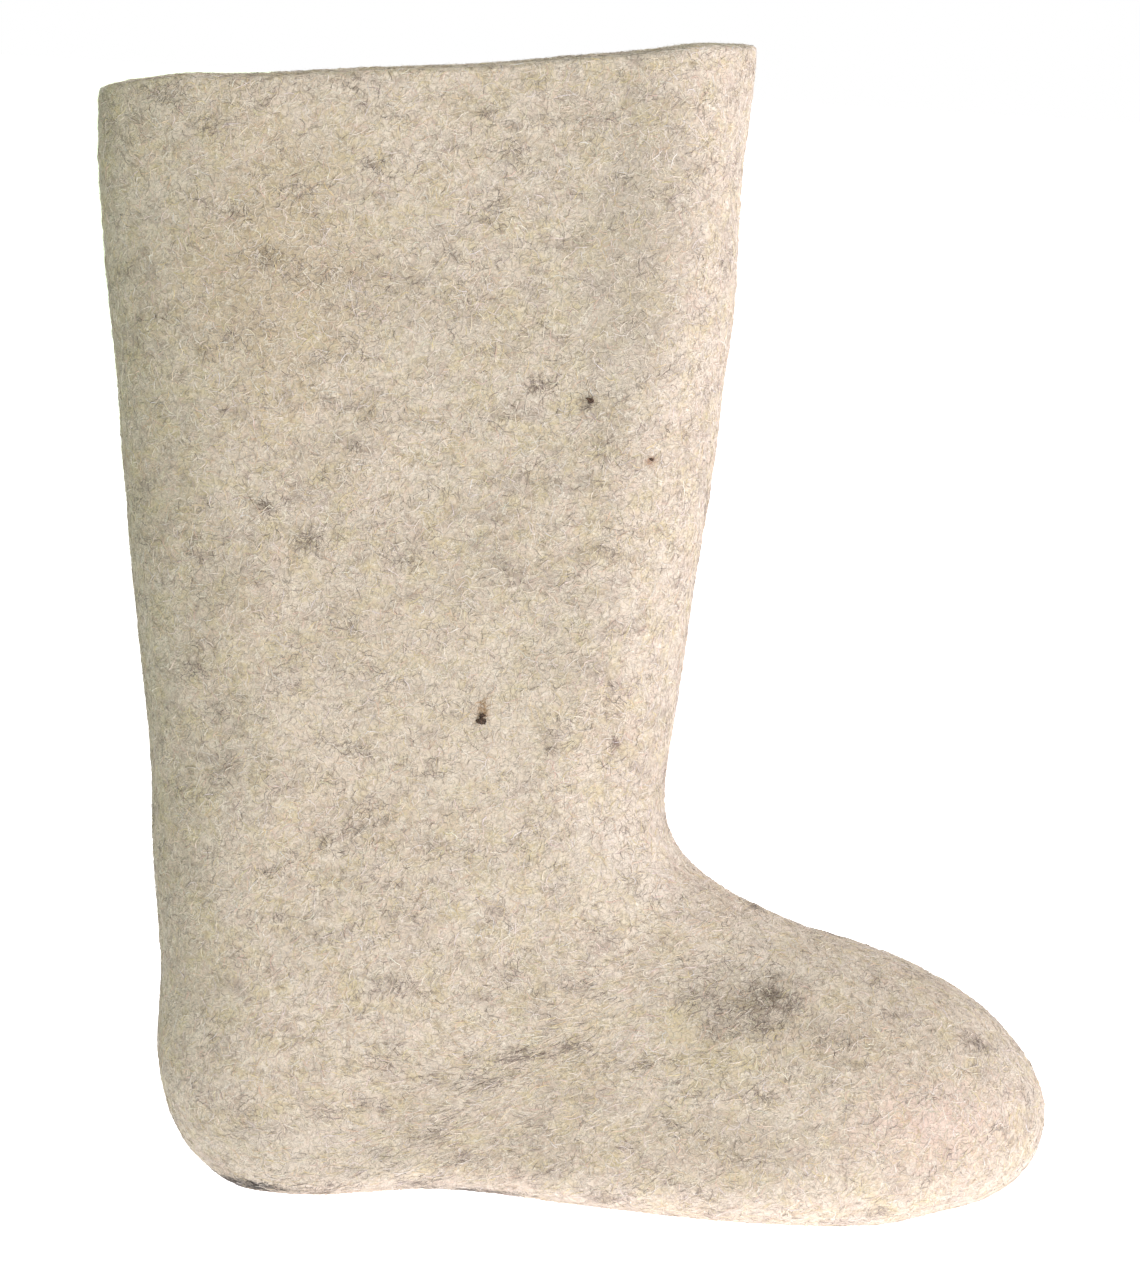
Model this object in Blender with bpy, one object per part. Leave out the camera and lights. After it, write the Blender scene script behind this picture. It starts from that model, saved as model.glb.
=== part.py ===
"""A valenki felt boot: one seamless hollow piece of felt, and the loose felt insole that lies in it.

Metres. +Z is up, the toe points along +X and the width runs along Y. The origin is on the floor, in the middle of
the heel's flat spot. Each section of the boot is a plane across it, from a point of the back and sole line to a
point of the front and top line, so the sections turn round the ankle like a fan.
"""

from typing import NamedTuple

import bpy
import numpy as np

# Foot, outside
FOOT_LENGTH = 0.2965
HEEL_REACH = 0.0445
INSTEP_HEIGHT = 0.100
TOE_TIP_HEIGHT = 0.040
ARCH_HEIGHT = 0.0036
HEEL_WIDTH = 0.086
BALL_WIDTH = 0.114
FLOOR_PRESS = 0.0013

# Ankle section, outside
ANKLE_HEIGHT = 0.150
ANKLE_DROP = 0.010
ANKLE_LENGTH = 0.1737
ANKLE_BACK = 0.0542
ANKLE_WIDTH = 0.086

# Shaft and collar, outside
BOOT_HEIGHT = 0.3915
COLLAR_DROP = 0.0255
COLLAR_LENGTH = 0.219
COLLAR_WIDTH = 0.070
SHAFT_LEAN = 0.0082
RIM_ROUND = 0.0015

# Felt
SHAFT_WALL = 0.006
VAMP_WALL = 0.0075
HEEL_WALL = 0.009
TOE_WALL = 0.0095
SOLE_THICKNESS = 0.011
INSOLE_THICKNESS = 0.004
FIT_GAP = 0.0003

# Facets
HALF_SEGMENTS = 20
OUTLINE_SAMPLES = 160
BEND_WEIGHT = 0.6
MOST_TURN = 0.06
SHAFT_STEPS = 3
FOOT_STEPS = 3
RIM_STEPS = 2
INSOLE_SEGMENTS = 26
INSOLE_LEVELS = 2
DIFFERENCE_STEP = 0.0005
FLAT_WITHIN = 0.0001

# A corner of the cavity is never tighter than this share of the outer corner
LEAST_INNER_ROUND = 0.6
CREST_POWER = 2.15


class ShaftRow(NamedTuple):
    """One section of the shaft, each length as a share of the size that it follows."""

    place: str
    up: float  # from the ankle section to the collar
    lean: float  # of the shaft's lean
    spread: float  # from the ankle's length to the collar's
    narrow: float  # from the ankle's width to the collar's
    back_round: float  # of the section's length
    front_round: float  # of the section's length


SHAFT_ROWS = (
    ShaftRow("collar", 1.00, 1.00, 1.00, 1.00, 0.27, 0.17),
    ShaftRow("upper shaft", 0.79, 0.88, 0.87, 0.84, 0.27, 0.17),
    ShaftRow("mid shaft", 0.54, 0.49, 0.65, 0.58, 0.27, 0.18),
    ShaftRow("lower shaft", 0.29, 0.26, 0.34, 0.31, 0.28, 0.20),
    ShaftRow("above ankle", 0.12, 0.11, 0.12, 0.12, 0.28, 0.22),
    ShaftRow("ankle", 0.00, 0.00, 0.00, 0.00, 0.28, 0.24),
)


class FootLineRow(NamedTuple):
    """Where one section of the foot meets the top line and the sole line, as shares of the sizes that they follow."""

    place: str
    top_reach: float  # from the ankle's front to the toe tip
    ankle_rise: float  # from the instep's height to the ankle's
    instep_rise: float  # from the toe tip's height to the instep's
    sole_reach: float  # of the foot's length, from the heel's back
    heel_rise: float  # of the height of the ankle's back
    arch_rise: float  # of the arch's height
    spring: float  # of the toe tip's height


FOOT_LINES = (
    FootLineRow("throat", 0.000, 0.70, 1.00, -0.019, 0.679, 0.00, 0.00),
    FootLineRow("low throat", 0.022, 0.52, 1.00, -0.007, 0.429, 0.00, 0.00),
    FootLineRow("heel back", 0.055, 0.40, 1.00, 0.0075, 0.214, 0.00, 0.00),
    FootLineRow("heel turn", 0.088, 0.32, 1.00, 0.039, 0.080, 0.00, 0.00),
    FootLineRow("heel seat", 0.125, 0.25, 1.00, 0.100, 0.000, 0.05, 0.00),
    FootLineRow("heel front", 0.162, 0.19, 1.00, 0.180, 0.000, -0.12, 0.00),
    FootLineRow("arch", 0.208, 0.13, 1.00, 0.285, 0.000, 1.00, 0.00),
    FootLineRow("waist", 0.268, 0.07, 1.00, 0.403, 0.000, 0.94, 0.00),
    FootLineRow("ball rear", 0.351, 0.00, 1.00, 0.521, 0.000, 0.40, 0.00),
    FootLineRow("ball", 0.457, 0.00, 0.94, 0.639, 0.000, -0.05, 0.00),
    FootLineRow("ball front", 0.570, 0.00, 0.875, 0.730, 0.000, -0.05, 0.00),
    FootLineRow("toe root", 0.683, 0.00, 0.775, 0.825, 0.000, 0.00, 0.05),
    FootLineRow("toe bend", 0.796, 0.00, 0.642, 0.885, 0.000, 0.00, 0.155),
    FootLineRow("toe cap", 0.894, 0.00, 0.450, 0.936, 0.000, 0.00, 0.30),
    FootLineRow("toe nose", 0.962, 0.00, 0.258, 0.973, 0.000, 0.00, 0.50),
    FootLineRow("toe point", 0.992, 0.00, 0.100, 0.993, 0.000, 0.00, 0.75),
    FootLineRow("toe tip", 1.000, 0.00, 0.000, 1.000, 0.000, 0.00, 1.00),
)


class FootShapeRow(NamedTuple):
    """How one section of the foot is rounded, how wide it is and which wall it has."""

    place: str
    foot: float  # from the ankle's width to the heel's, and from the shaft's wall to the foot's
    ball: float  # from the heel's width to the ball's
    taper: float  # of that width
    low_round: float  # of the section's length
    top_round: float  # of the section's length
    low_power: float  # 2 is an ellipse, more is squarer
    press: float  # of the floor's press
    sole: float  # from the heel's wall to the sole's thickness
    toe: float  # from there to the toe's wall


FOOT_SHAPES = (
    FootShapeRow("throat", 0.45, 0.00, 1.00, 0.26, 0.26, 2.2, 0.0, 0.0, 0.0),
    FootShapeRow("low throat", 0.80, 0.00, 1.00, 0.24, 0.28, 2.2, 0.0, 0.0, 0.0),
    FootShapeRow("heel back", 1.00, 0.00, 1.00, 0.225, 0.31, 2.2, 0.0, 0.1, 0.0),
    FootShapeRow("heel turn", 1.00, 0.00, 1.00, 0.215, 0.34, 2.3, 0.0, 0.5, 0.0),
    FootShapeRow("heel seat", 1.00, 0.00, 1.00, 0.160, 0.38, 2.7, 1.0, 1.0, 0.0),
    FootShapeRow("heel front", 1.00, 0.03, 1.00, 0.115, 0.44, 3.0, 1.0, 1.0, 0.0),
    FootShapeRow("arch", 1.00, 0.11, 1.00, 0.128, 0.52, 3.0, 1.0, 1.0, 0.0),
    FootShapeRow("waist", 1.00, 0.33, 1.00, 0.148, 0.60, 3.0, 1.0, 1.0, 0.0),
    FootShapeRow("ball rear", 1.00, 0.65, 1.00, 0.170, 0.68, 3.0, 1.0, 1.0, 0.0),
    FootShapeRow("ball", 1.00, 0.93, 1.00, 0.185, 0.74, 3.0, 1.0, 1.0, 0.0),
    FootShapeRow("ball front", 1.00, 1.00, 0.995, 0.205, 0.76, 3.0, 1.0, 1.0, 0.05),
    FootShapeRow("toe root", 1.00, 1.00, 0.93, 0.240, 0.74, 2.9, 1.0, 0.9, 0.2),
    FootShapeRow("toe bend", 1.00, 1.00, 0.83, 0.300, 0.69, 2.7, 0.6, 0.6, 0.5),
    FootShapeRow("toe cap", 1.00, 1.00, 0.665, 0.380, 0.61, 2.5, 0.2, 0.3, 0.8),
    FootShapeRow("toe nose", 1.00, 1.00, 0.445, 0.460, 0.53, 2.3, 0.0, 0.0, 1.0),
    FootShapeRow("toe point", 1.00, 1.00, 0.235, 0.500, 0.50, 2.2, 0.0, 0.0, 1.0),
    FootShapeRow("toe tip", 1.00, 1.00, 0.00, 0.500, 0.50, 2.2, 0.0, 0.0, 1.0),
)

# The insole follows the cavity's floor between these two places and runs on straight past them
INSOLE_FLAT_FROM = "heel seat"
INSOLE_FLAT_TO = "toe bend"
CAVITY_END = "toe point"

FELT_COLOUR = (0.63, 0.54, 0.43, 1.0)
INSOLE_COLOUR = (0.60, 0.55, 0.47, 1.0)
FELT_ROUGHNESS = 0.95


class Section(NamedTuple):
    """One section, or an array of them: two points, half-width, roundings, flattening and walls."""

    front_x: np.ndarray
    front_z: np.ndarray
    back_x: np.ndarray
    back_z: np.ndarray
    half_width: np.ndarray
    low_round: np.ndarray
    top_round: np.ndarray
    low_power: np.ndarray
    press: np.ndarray
    front_wall: np.ndarray
    back_wall: np.ndarray


def column(rows, name):
    """One named column of a table as an array."""
    return np.array([getattr(row, name) for row in rows])


def mix(start, end, share):
    """The value at a share of the way from start to end."""
    return start + (end - start) * share


def shaft_sections():
    """The shaft's sections, from the collar down to the ankle."""
    up, lean = column(SHAFT_ROWS, "up"), column(SHAFT_ROWS, "lean")
    ankle_middle = ANKLE_LENGTH / 2 - ANKLE_BACK
    middle = ankle_middle - SHAFT_LEAN * lean
    half_length = mix(ANKLE_LENGTH, COLLAR_LENGTH, column(SHAFT_ROWS, "spread")) / 2
    even = np.ones(len(SHAFT_ROWS))
    return Section(
        front_x=middle + half_length,
        front_z=mix(ANKLE_HEIGHT, BOOT_HEIGHT, up),
        back_x=middle - half_length,
        back_z=mix(ANKLE_HEIGHT - ANKLE_DROP, BOOT_HEIGHT - COLLAR_DROP, up),
        half_width=mix(ANKLE_WIDTH, COLLAR_WIDTH, column(SHAFT_ROWS, "narrow")) / 2,
        low_round=column(SHAFT_ROWS, "back_round"),
        top_round=column(SHAFT_ROWS, "front_round"),
        low_power=CREST_POWER * even,
        press=0.0 * even,
        front_wall=SHAFT_WALL * even,
        back_wall=SHAFT_WALL * even,
    )


def foot_sections():
    """The foot's sections, from the throat down round the heel and on to the toe tip."""
    ankle_front = ANKLE_LENGTH - ANKLE_BACK
    toe_x = FOOT_LENGTH - HEEL_REACH
    foot, toe = column(FOOT_SHAPES, "foot"), column(FOOT_SHAPES, "toe")
    front_z = (
        TOE_TIP_HEIGHT
        + (INSTEP_HEIGHT - TOE_TIP_HEIGHT) * column(FOOT_LINES, "instep_rise")
        + (ANKLE_HEIGHT - INSTEP_HEIGHT) * column(FOOT_LINES, "ankle_rise")
    )
    back_z = (
        (ANKLE_HEIGHT - ANKLE_DROP) * column(FOOT_LINES, "heel_rise")
        + ARCH_HEIGHT * column(FOOT_LINES, "arch_rise")
        + TOE_TIP_HEIGHT * column(FOOT_LINES, "spring")
    )
    width = mix(ANKLE_WIDTH, HEEL_WIDTH, foot)
    width = mix(width, BALL_WIDTH, column(FOOT_SHAPES, "ball")) * column(FOOT_SHAPES, "taper")
    upper_wall = mix(mix(SHAFT_WALL, VAMP_WALL, foot), TOE_WALL, toe)
    heel_wall = mix(mix(SHAFT_WALL, HEEL_WALL, foot), SOLE_THICKNESS, column(FOOT_SHAPES, "sole"))
    return Section(
        front_x=mix(ankle_front, toe_x, column(FOOT_LINES, "top_reach")),
        front_z=front_z,
        back_x=FOOT_LENGTH * column(FOOT_LINES, "sole_reach") - HEEL_REACH,
        back_z=back_z,
        half_width=width / 2,
        low_round=column(FOOT_SHAPES, "low_round"),
        top_round=column(FOOT_SHAPES, "top_round"),
        low_power=column(FOOT_SHAPES, "low_power"),
        press=FLOOR_PRESS * column(FOOT_SHAPES, "press"),
        front_wall=upper_wall,
        back_wall=mix(heel_wall, TOE_WALL, toe),
    )


def natural_spline(knots, values, at):
    """A natural cubic spline through the rows of values at the knots, read at the given places."""
    gaps = np.diff(knots)
    slopes = np.diff(values, axis=0) / gaps[:, None]
    system = np.eye(len(knots))
    jumps = np.zeros_like(values)
    for row in range(1, len(knots) - 1):
        system[row, row - 1] = gaps[row - 1]
        system[row, row] = 2 * (gaps[row - 1] + gaps[row])
        system[row, row + 1] = gaps[row]
        jumps[row] = 6 * (slopes[row] - slopes[row - 1])
    bends = np.linalg.solve(system, jumps)
    cell = np.clip(np.searchsorted(knots, at, side="right") - 1, 0, len(knots) - 2)
    gap = gaps[cell][:, None]
    before = (at - knots[cell])[:, None]
    after = (knots[cell + 1] - at)[:, None]
    curved = (bends[cell] * after**3 + bends[cell + 1] * before**3) / (6 * gap)
    left = (values[cell] / gap - bends[cell] * gap / 6) * after
    right = (values[cell + 1] / gap - bends[cell + 1] * gap / 6) * before
    return curved + left + right


class BootForm:
    """The boot's form as smooth sections along one path, from the collar to the toe tip."""

    def __init__(self):
        """Joins the shaft's and the foot's sections and measures the path through them."""
        shaft, foot = shaft_sections(), foot_sections()
        self.table = np.column_stack([np.concatenate(pair) for pair in zip(shaft, foot)])
        self.places = [row.place for row in SHAFT_ROWS + FOOT_LINES]
        front_steps = np.hypot(*np.diff(self.table[:, 0:2], axis=0).T)
        back_steps = np.hypot(*np.diff(self.table[:, 2:4], axis=0).T)
        self.knots = np.concatenate([[0.0], np.cumsum((front_steps + back_steps) / 2)])

    def knot(self, place):
        """How far along the path a named section is."""
        return self.knots[self.places.index(place)]

    def sections(self, path):
        """The outer sections at the given places on the path."""
        return Section(*natural_spline(self.knots, self.table, path).T)

    def inset(self, path, depth):
        """The sections moved into the felt by a share of the wall, or by a length where depth has one per section."""
        outer = self.sections(path)
        later = self.sections(np.minimum(path + DIFFERENCE_STEP, self.knots[-1]))
        earlier = self.sections(np.maximum(path - DIFFERENCE_STEP, 0.0))
        front_in, back_in = depth * outer.front_wall, depth * outer.back_wall
        front_run = np.stack([later.front_x - earlier.front_x, later.front_z - earlier.front_z])
        back_run = np.stack([later.back_x - earlier.back_x, later.back_z - earlier.back_z])
        front_run = front_run / np.hypot(*front_run)
        back_run = back_run / np.hypot(*back_run)
        middle_run = np.hypot(
            later.front_x + later.back_x - earlier.front_x - earlier.back_x,
            later.front_z + later.back_z - earlier.front_z - earlier.back_z,
        )
        narrowing = (later.half_width - earlier.half_width) * 2 / middle_run
        across = 1 / np.sqrt(1 + narrowing**2)
        front_x = outer.front_x + front_in * front_run[1]
        front_z = outer.front_z - front_in * front_run[0]
        back_x = outer.back_x - back_in * back_run[1]
        back_z = outer.back_z + back_in * back_run[0]
        outer_length = np.hypot(outer.front_x - outer.back_x, outer.front_z - outer.back_z)
        length = np.hypot(front_x - back_x, front_z - back_z)
        low = outer.low_round * outer_length
        top = outer.top_round * outer_length
        return outer._replace(
            front_x=front_x,
            front_z=front_z,
            back_x=back_x,
            back_z=back_z,
            half_width=outer.half_width - front_in * across,
            low_round=np.maximum(low - back_in, LEAST_INNER_ROUND * low) / length,
            top_round=np.maximum(top - front_in, LEAST_INNER_ROUND * top) / length,
        )

    def rings(self, path, depth):
        """The rings of points of the given sections, each from the sole's middle round one side and back."""
        return section_rings(self.inset(path, depth))


def roundness(share, power):
    """A quarter of a superellipse: 0 at share 0, rising to 1 at share 1 and beyond."""
    run = np.clip(share, 0.0, 1.0)
    return (1 - (1 - run) ** power) ** (1 / power)


def half_outline(section):
    """Half of one section as lengths along it and half-widths, with more points where it bends more."""
    length = np.hypot(section.front_x - section.back_x, section.front_z - section.back_z)
    low, top = section.low_round * length, section.top_round * length
    along = length * (1 - np.cos(np.linspace(0, np.pi, OUTLINE_SAMPLES))) / 2
    low_end = roundness((along + section.press) / (low + section.press), section.low_power)
    top_end = roundness((length - along) / top, CREST_POWER)
    across = section.half_width * low_end * top_end
    along, across = np.append(0.0, along), np.append(0.0, across)
    steps = np.hypot(np.diff(along), np.diff(across))
    heading = np.unwrap(np.arctan2(np.diff(along), np.diff(across)))
    turning = np.minimum(np.append(0.0, np.abs(np.diff(heading))), MOST_TURN)
    measure = steps / steps.sum() + BEND_WEIGHT * turning / np.pi
    measure = np.append(0.0, np.cumsum(measure))
    even = np.linspace(0, measure[-1], HALF_SEGMENTS + 1)
    return np.interp(even, measure, along) / length, np.interp(even, measure, across)


def section_rings(sections):
    """An array of rings by points by coordinates, from an array of sections."""
    rings = []
    for values in zip(*sections):
        section = Section(*values)
        share, across = half_outline(section)
        x = mix(section.back_x, section.front_x, share)
        z = mix(section.back_z, section.front_z, share)
        across[0] = across[-1] = 0.0
        near = np.column_stack([x, -across, z])
        far = np.column_stack([x, across, z])[-2:0:-1]
        rings.append(np.concatenate([near, far]))
    rings = np.array(rings)
    height = rings[..., 2]
    height[height < FLAT_WITHIN] = 0.0
    return rings


def path_steps(form, end):
    """Places on the path from just under the rim to the named section, a few steps between neighbouring rows."""
    last = form.places.index(end)
    places = [np.array([RIM_ROUND])]
    for row in range(last):
        start = max(form.knots[row], RIM_ROUND)
        steps = SHAFT_STEPS if row < len(SHAFT_ROWS) - 1 else FOOT_STEPS
        places.append(np.linspace(start, form.knots[row + 1], steps + 1)[1:])
    return np.concatenate(places)


def rim_rings(form):
    """The rounded edge of the collar, from just above the outer skin to just above the inner one."""
    angle = np.linspace(0, np.pi / 2, RIM_STEPS + 1)[1:]
    down = RIM_ROUND * (1 - np.sin(angle))
    share_in = RIM_ROUND * (1 - np.cos(angle)) / SHAFT_WALL
    outside = form.rings(down, share_in)
    inside = form.rings(down[::-1], 1 - share_in[::-1])
    return np.concatenate([outside, inside])


def cavity_rings(form):
    """The inner skin's rings, from just under the rim to the end of the cavity."""
    path = path_steps(form, CAVITY_END)
    return form.rings(path, np.ones_like(path))


def boot_rings(form):
    """All rings of the boot's one surface, from the toe up the outside, over the rim and down the inside."""
    path = path_steps(form, "toe tip")[:-1]
    outer = form.rings(path, np.zeros_like(path))
    return np.concatenate([outer[::-1], rim_rings(form), cavity_rings(form)])


def tube_faces(rings, around):
    """Quads between neighbouring rings, and a fan of triangles to a tip at each end."""
    ring, point = np.meshgrid(np.arange(rings - 1), np.arange(around), indexing="ij")
    after = (point + 1) % around
    quads = np.stack(
        [
            ring * around + point,
            ring * around + after,
            (ring + 1) * around + after,
            (ring + 1) * around + point,
        ],
        axis=-1,
    ).reshape(-1, 4)
    first_tip, last_tip = rings * around, rings * around + 1
    point = np.arange(around)
    after = (point + 1) % around
    last_ring = (rings - 1) * around
    first_fan = np.stack([after, point, np.full(around, first_tip)], axis=-1)
    last_fan = np.stack([last_ring + point, last_ring + after, np.full(around, last_tip)], axis=-1)
    return quads.tolist() + first_fan.tolist() + last_fan.tolist()


def make_object(name, points, faces, material):
    """A smooth-shaded mesh object with one material."""
    mesh = bpy.data.meshes.new(name)
    mesh.from_pydata(points.tolist(), [], faces)
    mesh.materials.append(material)
    mesh.polygons.foreach_set("use_smooth", [True] * len(mesh.polygons))
    mesh.update()
    made = bpy.data.objects.new(name, mesh)
    bpy.context.scene.collection.objects.link(made)
    return made


def make_material(name, colour):
    """A matt felt material."""
    material = bpy.data.materials.new(name)
    material.use_nodes = True
    shader = material.node_tree.nodes["Principled BSDF"]
    shader.inputs["Base Color"].default_value = colour
    shader.inputs["Roughness"].default_value = FELT_ROUGHNESS
    shader.inputs["Metallic"].default_value = 0.0
    return material


def build_boot(form):
    """The felt boot: the outer and inner skins, joined over the rim, each closed by one point at the toe."""
    rings = boot_rings(form)
    toe_x = FOOT_LENGTH - HEEL_REACH
    tips = np.array([[toe_x, 0.0, TOE_TIP_HEIGHT], [toe_x - TOE_WALL, 0.0, TOE_TIP_HEIGHT]])
    points = np.concatenate([rings.reshape(-1, 3), tips])
    faces = tube_faces(len(rings), rings.shape[1])
    return make_object("felt_boot", points, faces, make_material("felt", FELT_COLOUR))


def floor_line(form, rings):
    """The cavity's floor along its middle, as X and height, run on straight past the heel seat and the toe bend."""
    path = path_steps(form, CAVITY_END)
    kept = (path >= form.knot(INSOLE_FLAT_FROM)) & (path <= form.knot(INSOLE_FLAT_TO))
    x, z = rings[kept, 0, 0], rings[kept, 0, 2]
    slope = (z[-1] - z[-2]) / (x[-1] - x[-2])
    toe_x = FOOT_LENGTH - HEEL_REACH
    x = np.concatenate([[-FOOT_LENGTH], x, [toe_x]])
    z = np.concatenate([z[:1], z, [z[-1] + slope * (toe_x - x[-2])]])
    return x, z


def first_crossing(across, over):
    """The place along a line, in rows and parts of a row, where over first turns from below zero to above it."""
    row = int(np.argmax(over > 0))
    share = over[row - 1] / (over[row - 1] - over[row])
    return across[row - 1] + share * (across[row] - across[row - 1])


def cavity_outline(rings, line, lift):
    """Half of the cavity's outline at a height above its floor line, from the heel end to the toe end."""
    over = rings[..., 2] - np.interp(rings[..., 0], *line) - lift
    half = HALF_SEGMENTS + 1
    open_rings = np.flatnonzero(over[:, 0] <= 0)
    first, last = open_rings[0], open_rings[-1]
    heel_end = first_crossing(rings[[first, first - 1], 0], over[[first, first - 1], 0])
    toe_end = first_crossing(rings[[last, last + 1], 0], over[[last, last + 1], 0])
    sides = [first_crossing(rings[ring, :half], over[ring, :half]) for ring in range(first, last + 1)]
    outline = np.array([heel_end, *sides, toe_end])[:, :2]
    return outline * [1, -1]


def drawn_in(outline, gap):
    """A half outline moved inwards by a gap and spaced evenly, with both ends left on the middle line."""
    steps = np.append(0.0, np.cumsum(np.hypot(*np.diff(outline, axis=0).T)))
    even = np.linspace(0, steps[-1], INSOLE_SEGMENTS + 1)
    outline = np.column_stack([np.interp(even, steps, side) for side in outline.T])
    run = np.gradient(outline, axis=0)
    run[0], run[-1] = (0.0, 1.0), (0.0, -1.0)
    run = run / np.hypot(*run.T)[:, None]
    moved = outline + gap * np.column_stack([run[:, 1], -run[:, 0]])
    moved[[0, -1], 1] = 0.0
    return moved


def build_insole(form):
    """The loose insole: outlines of the cavity at a few heights, drawn in by the gap and joined to one sheet."""
    rings = cavity_rings(form)
    line = floor_line(form, rings)
    loops = []
    for level in range(INSOLE_LEVELS + 1):
        lift = INSOLE_THICKNESS * level / INSOLE_LEVELS
        half = drawn_in(cavity_outline(rings, line, lift + FLAT_WITHIN), FIT_GAP)
        loop = np.concatenate([half, (half * [1, -1])[-2:0:-1]])
        loops.append(np.column_stack([loop, np.interp(loop[:, 0], *line) + lift + FIT_GAP]))
    around = len(loops[0])
    faces = []
    for level in range(INSOLE_LEVELS):
        for point in range(around):
            after = (point + 1) % around
            low, high = level * around, (level + 1) * around
            faces.append((low + after, low + point, high + point, high + after))
    top = INSOLE_LEVELS * around
    for point in range(INSOLE_SEGMENTS):
        near, near_after = (around - point) % around, around - point - 1
        strip = [point, point + 1, near_after, near]
        strip = list(dict.fromkeys(strip))
        faces.append(tuple(strip))
        faces.append(tuple(top + corner for corner in reversed(strip)))
    material = make_material("insole_felt", INSOLE_COLOUR)
    return make_object("felt_insole", np.concatenate(loops), faces, material)


def main():
    """Clears the scene and builds both pieces."""
    for old in list(bpy.data.objects):
        bpy.data.objects.remove(old, do_unlink=True)
    form = BootForm()
    build_boot(form)
    build_insole(form)


main()
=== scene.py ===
"""The dressed valenki felt boot: its felt surface, its insole, its hairs and burrs, and a plain studio.

Metres. +Z is up, the toe points along +X and the near side faces -Y. The boot's own sizes and three tables
of sections give the surface, and everything else lies on that surface.
"""

import logging
import math
from dataclasses import dataclass, field, replace
from enum import Enum
from typing import NamedTuple

import bpy
import numpy as np
from mathutils import Matrix, Vector


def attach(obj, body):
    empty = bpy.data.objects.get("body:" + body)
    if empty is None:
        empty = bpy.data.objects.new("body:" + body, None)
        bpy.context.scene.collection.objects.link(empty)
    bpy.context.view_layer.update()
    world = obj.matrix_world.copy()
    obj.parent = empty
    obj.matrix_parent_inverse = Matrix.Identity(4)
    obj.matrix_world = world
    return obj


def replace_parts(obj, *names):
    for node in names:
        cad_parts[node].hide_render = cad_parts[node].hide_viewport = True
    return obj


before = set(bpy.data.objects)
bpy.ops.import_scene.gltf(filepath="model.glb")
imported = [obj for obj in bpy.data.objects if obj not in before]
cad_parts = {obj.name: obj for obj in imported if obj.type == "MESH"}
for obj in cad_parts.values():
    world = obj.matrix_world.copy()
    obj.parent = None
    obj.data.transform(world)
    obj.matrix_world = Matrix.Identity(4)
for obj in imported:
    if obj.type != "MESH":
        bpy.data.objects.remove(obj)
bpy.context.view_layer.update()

LOG = logging.getLogger("felt_boot")
BODY = "root"
MM = 0.001
TINY = 1e-12

Colour = tuple[float, float, float]
Triple = tuple[float, float, float]
Span = tuple[float, float]


class Side(Enum):
    """Which side of the boot a mark is on."""

    NEAR = -1.0
    FAR = 1.0


@dataclass(frozen=True)
class BootSizes:
    """The boot's outer sizes, its walls and the insole, in metres."""

    foot_length: float = 0.2965
    heel_reach: float = 0.0445
    instep_height: float = 0.100
    toe_tip_height: float = 0.040
    arch_height: float = 0.0036
    heel_width: float = 0.086
    ball_width: float = 0.114
    floor_press: float = 0.0013
    ankle_height: float = 0.150
    ankle_drop: float = 0.010
    ankle_length: float = 0.1737
    ankle_back: float = 0.0542
    ankle_width: float = 0.086
    boot_height: float = 0.3915
    collar_drop: float = 0.0255
    collar_length: float = 0.219
    collar_width: float = 0.070
    shaft_lean: float = 0.0082
    rim_round: float = 0.0015
    shaft_wall: float = 0.006
    vamp_wall: float = 0.0075
    heel_wall: float = 0.009
    toe_wall: float = 0.0095
    sole_thickness: float = 0.011
    insole_thickness: float = 0.004
    fit_gap: float = 0.0003
    crest_power: float = 2.15
    least_inner_round: float = 0.6

    @property
    def toe_x(self) -> float:
        """How far the toe tip is ahead of the origin."""
        return self.foot_length - self.heel_reach


class ShaftRow(NamedTuple):
    """One section of the shaft, each length as a share of the size that it follows."""

    place: str
    up: float
    lean: float
    spread: float
    narrow: float
    back_round: float
    front_round: float


SHAFT_ROWS = (
    ShaftRow("collar", 1.00, 1.00, 1.00, 1.00, 0.27, 0.17),
    ShaftRow("upper shaft", 0.79, 0.88, 0.87, 0.84, 0.27, 0.17),
    ShaftRow("mid shaft", 0.54, 0.49, 0.65, 0.58, 0.27, 0.18),
    ShaftRow("lower shaft", 0.29, 0.26, 0.34, 0.31, 0.28, 0.20),
    ShaftRow("above ankle", 0.12, 0.11, 0.12, 0.12, 0.28, 0.22),
    ShaftRow("ankle", 0.00, 0.00, 0.00, 0.00, 0.28, 0.24),
)


class FootLineRow(NamedTuple):
    """Where one section of the foot meets the top and sole lines, as shares of the sizes they follow."""

    place: str
    top_reach: float
    ankle_rise: float
    instep_rise: float
    sole_reach: float
    heel_rise: float
    arch_rise: float
    spring: float


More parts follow.
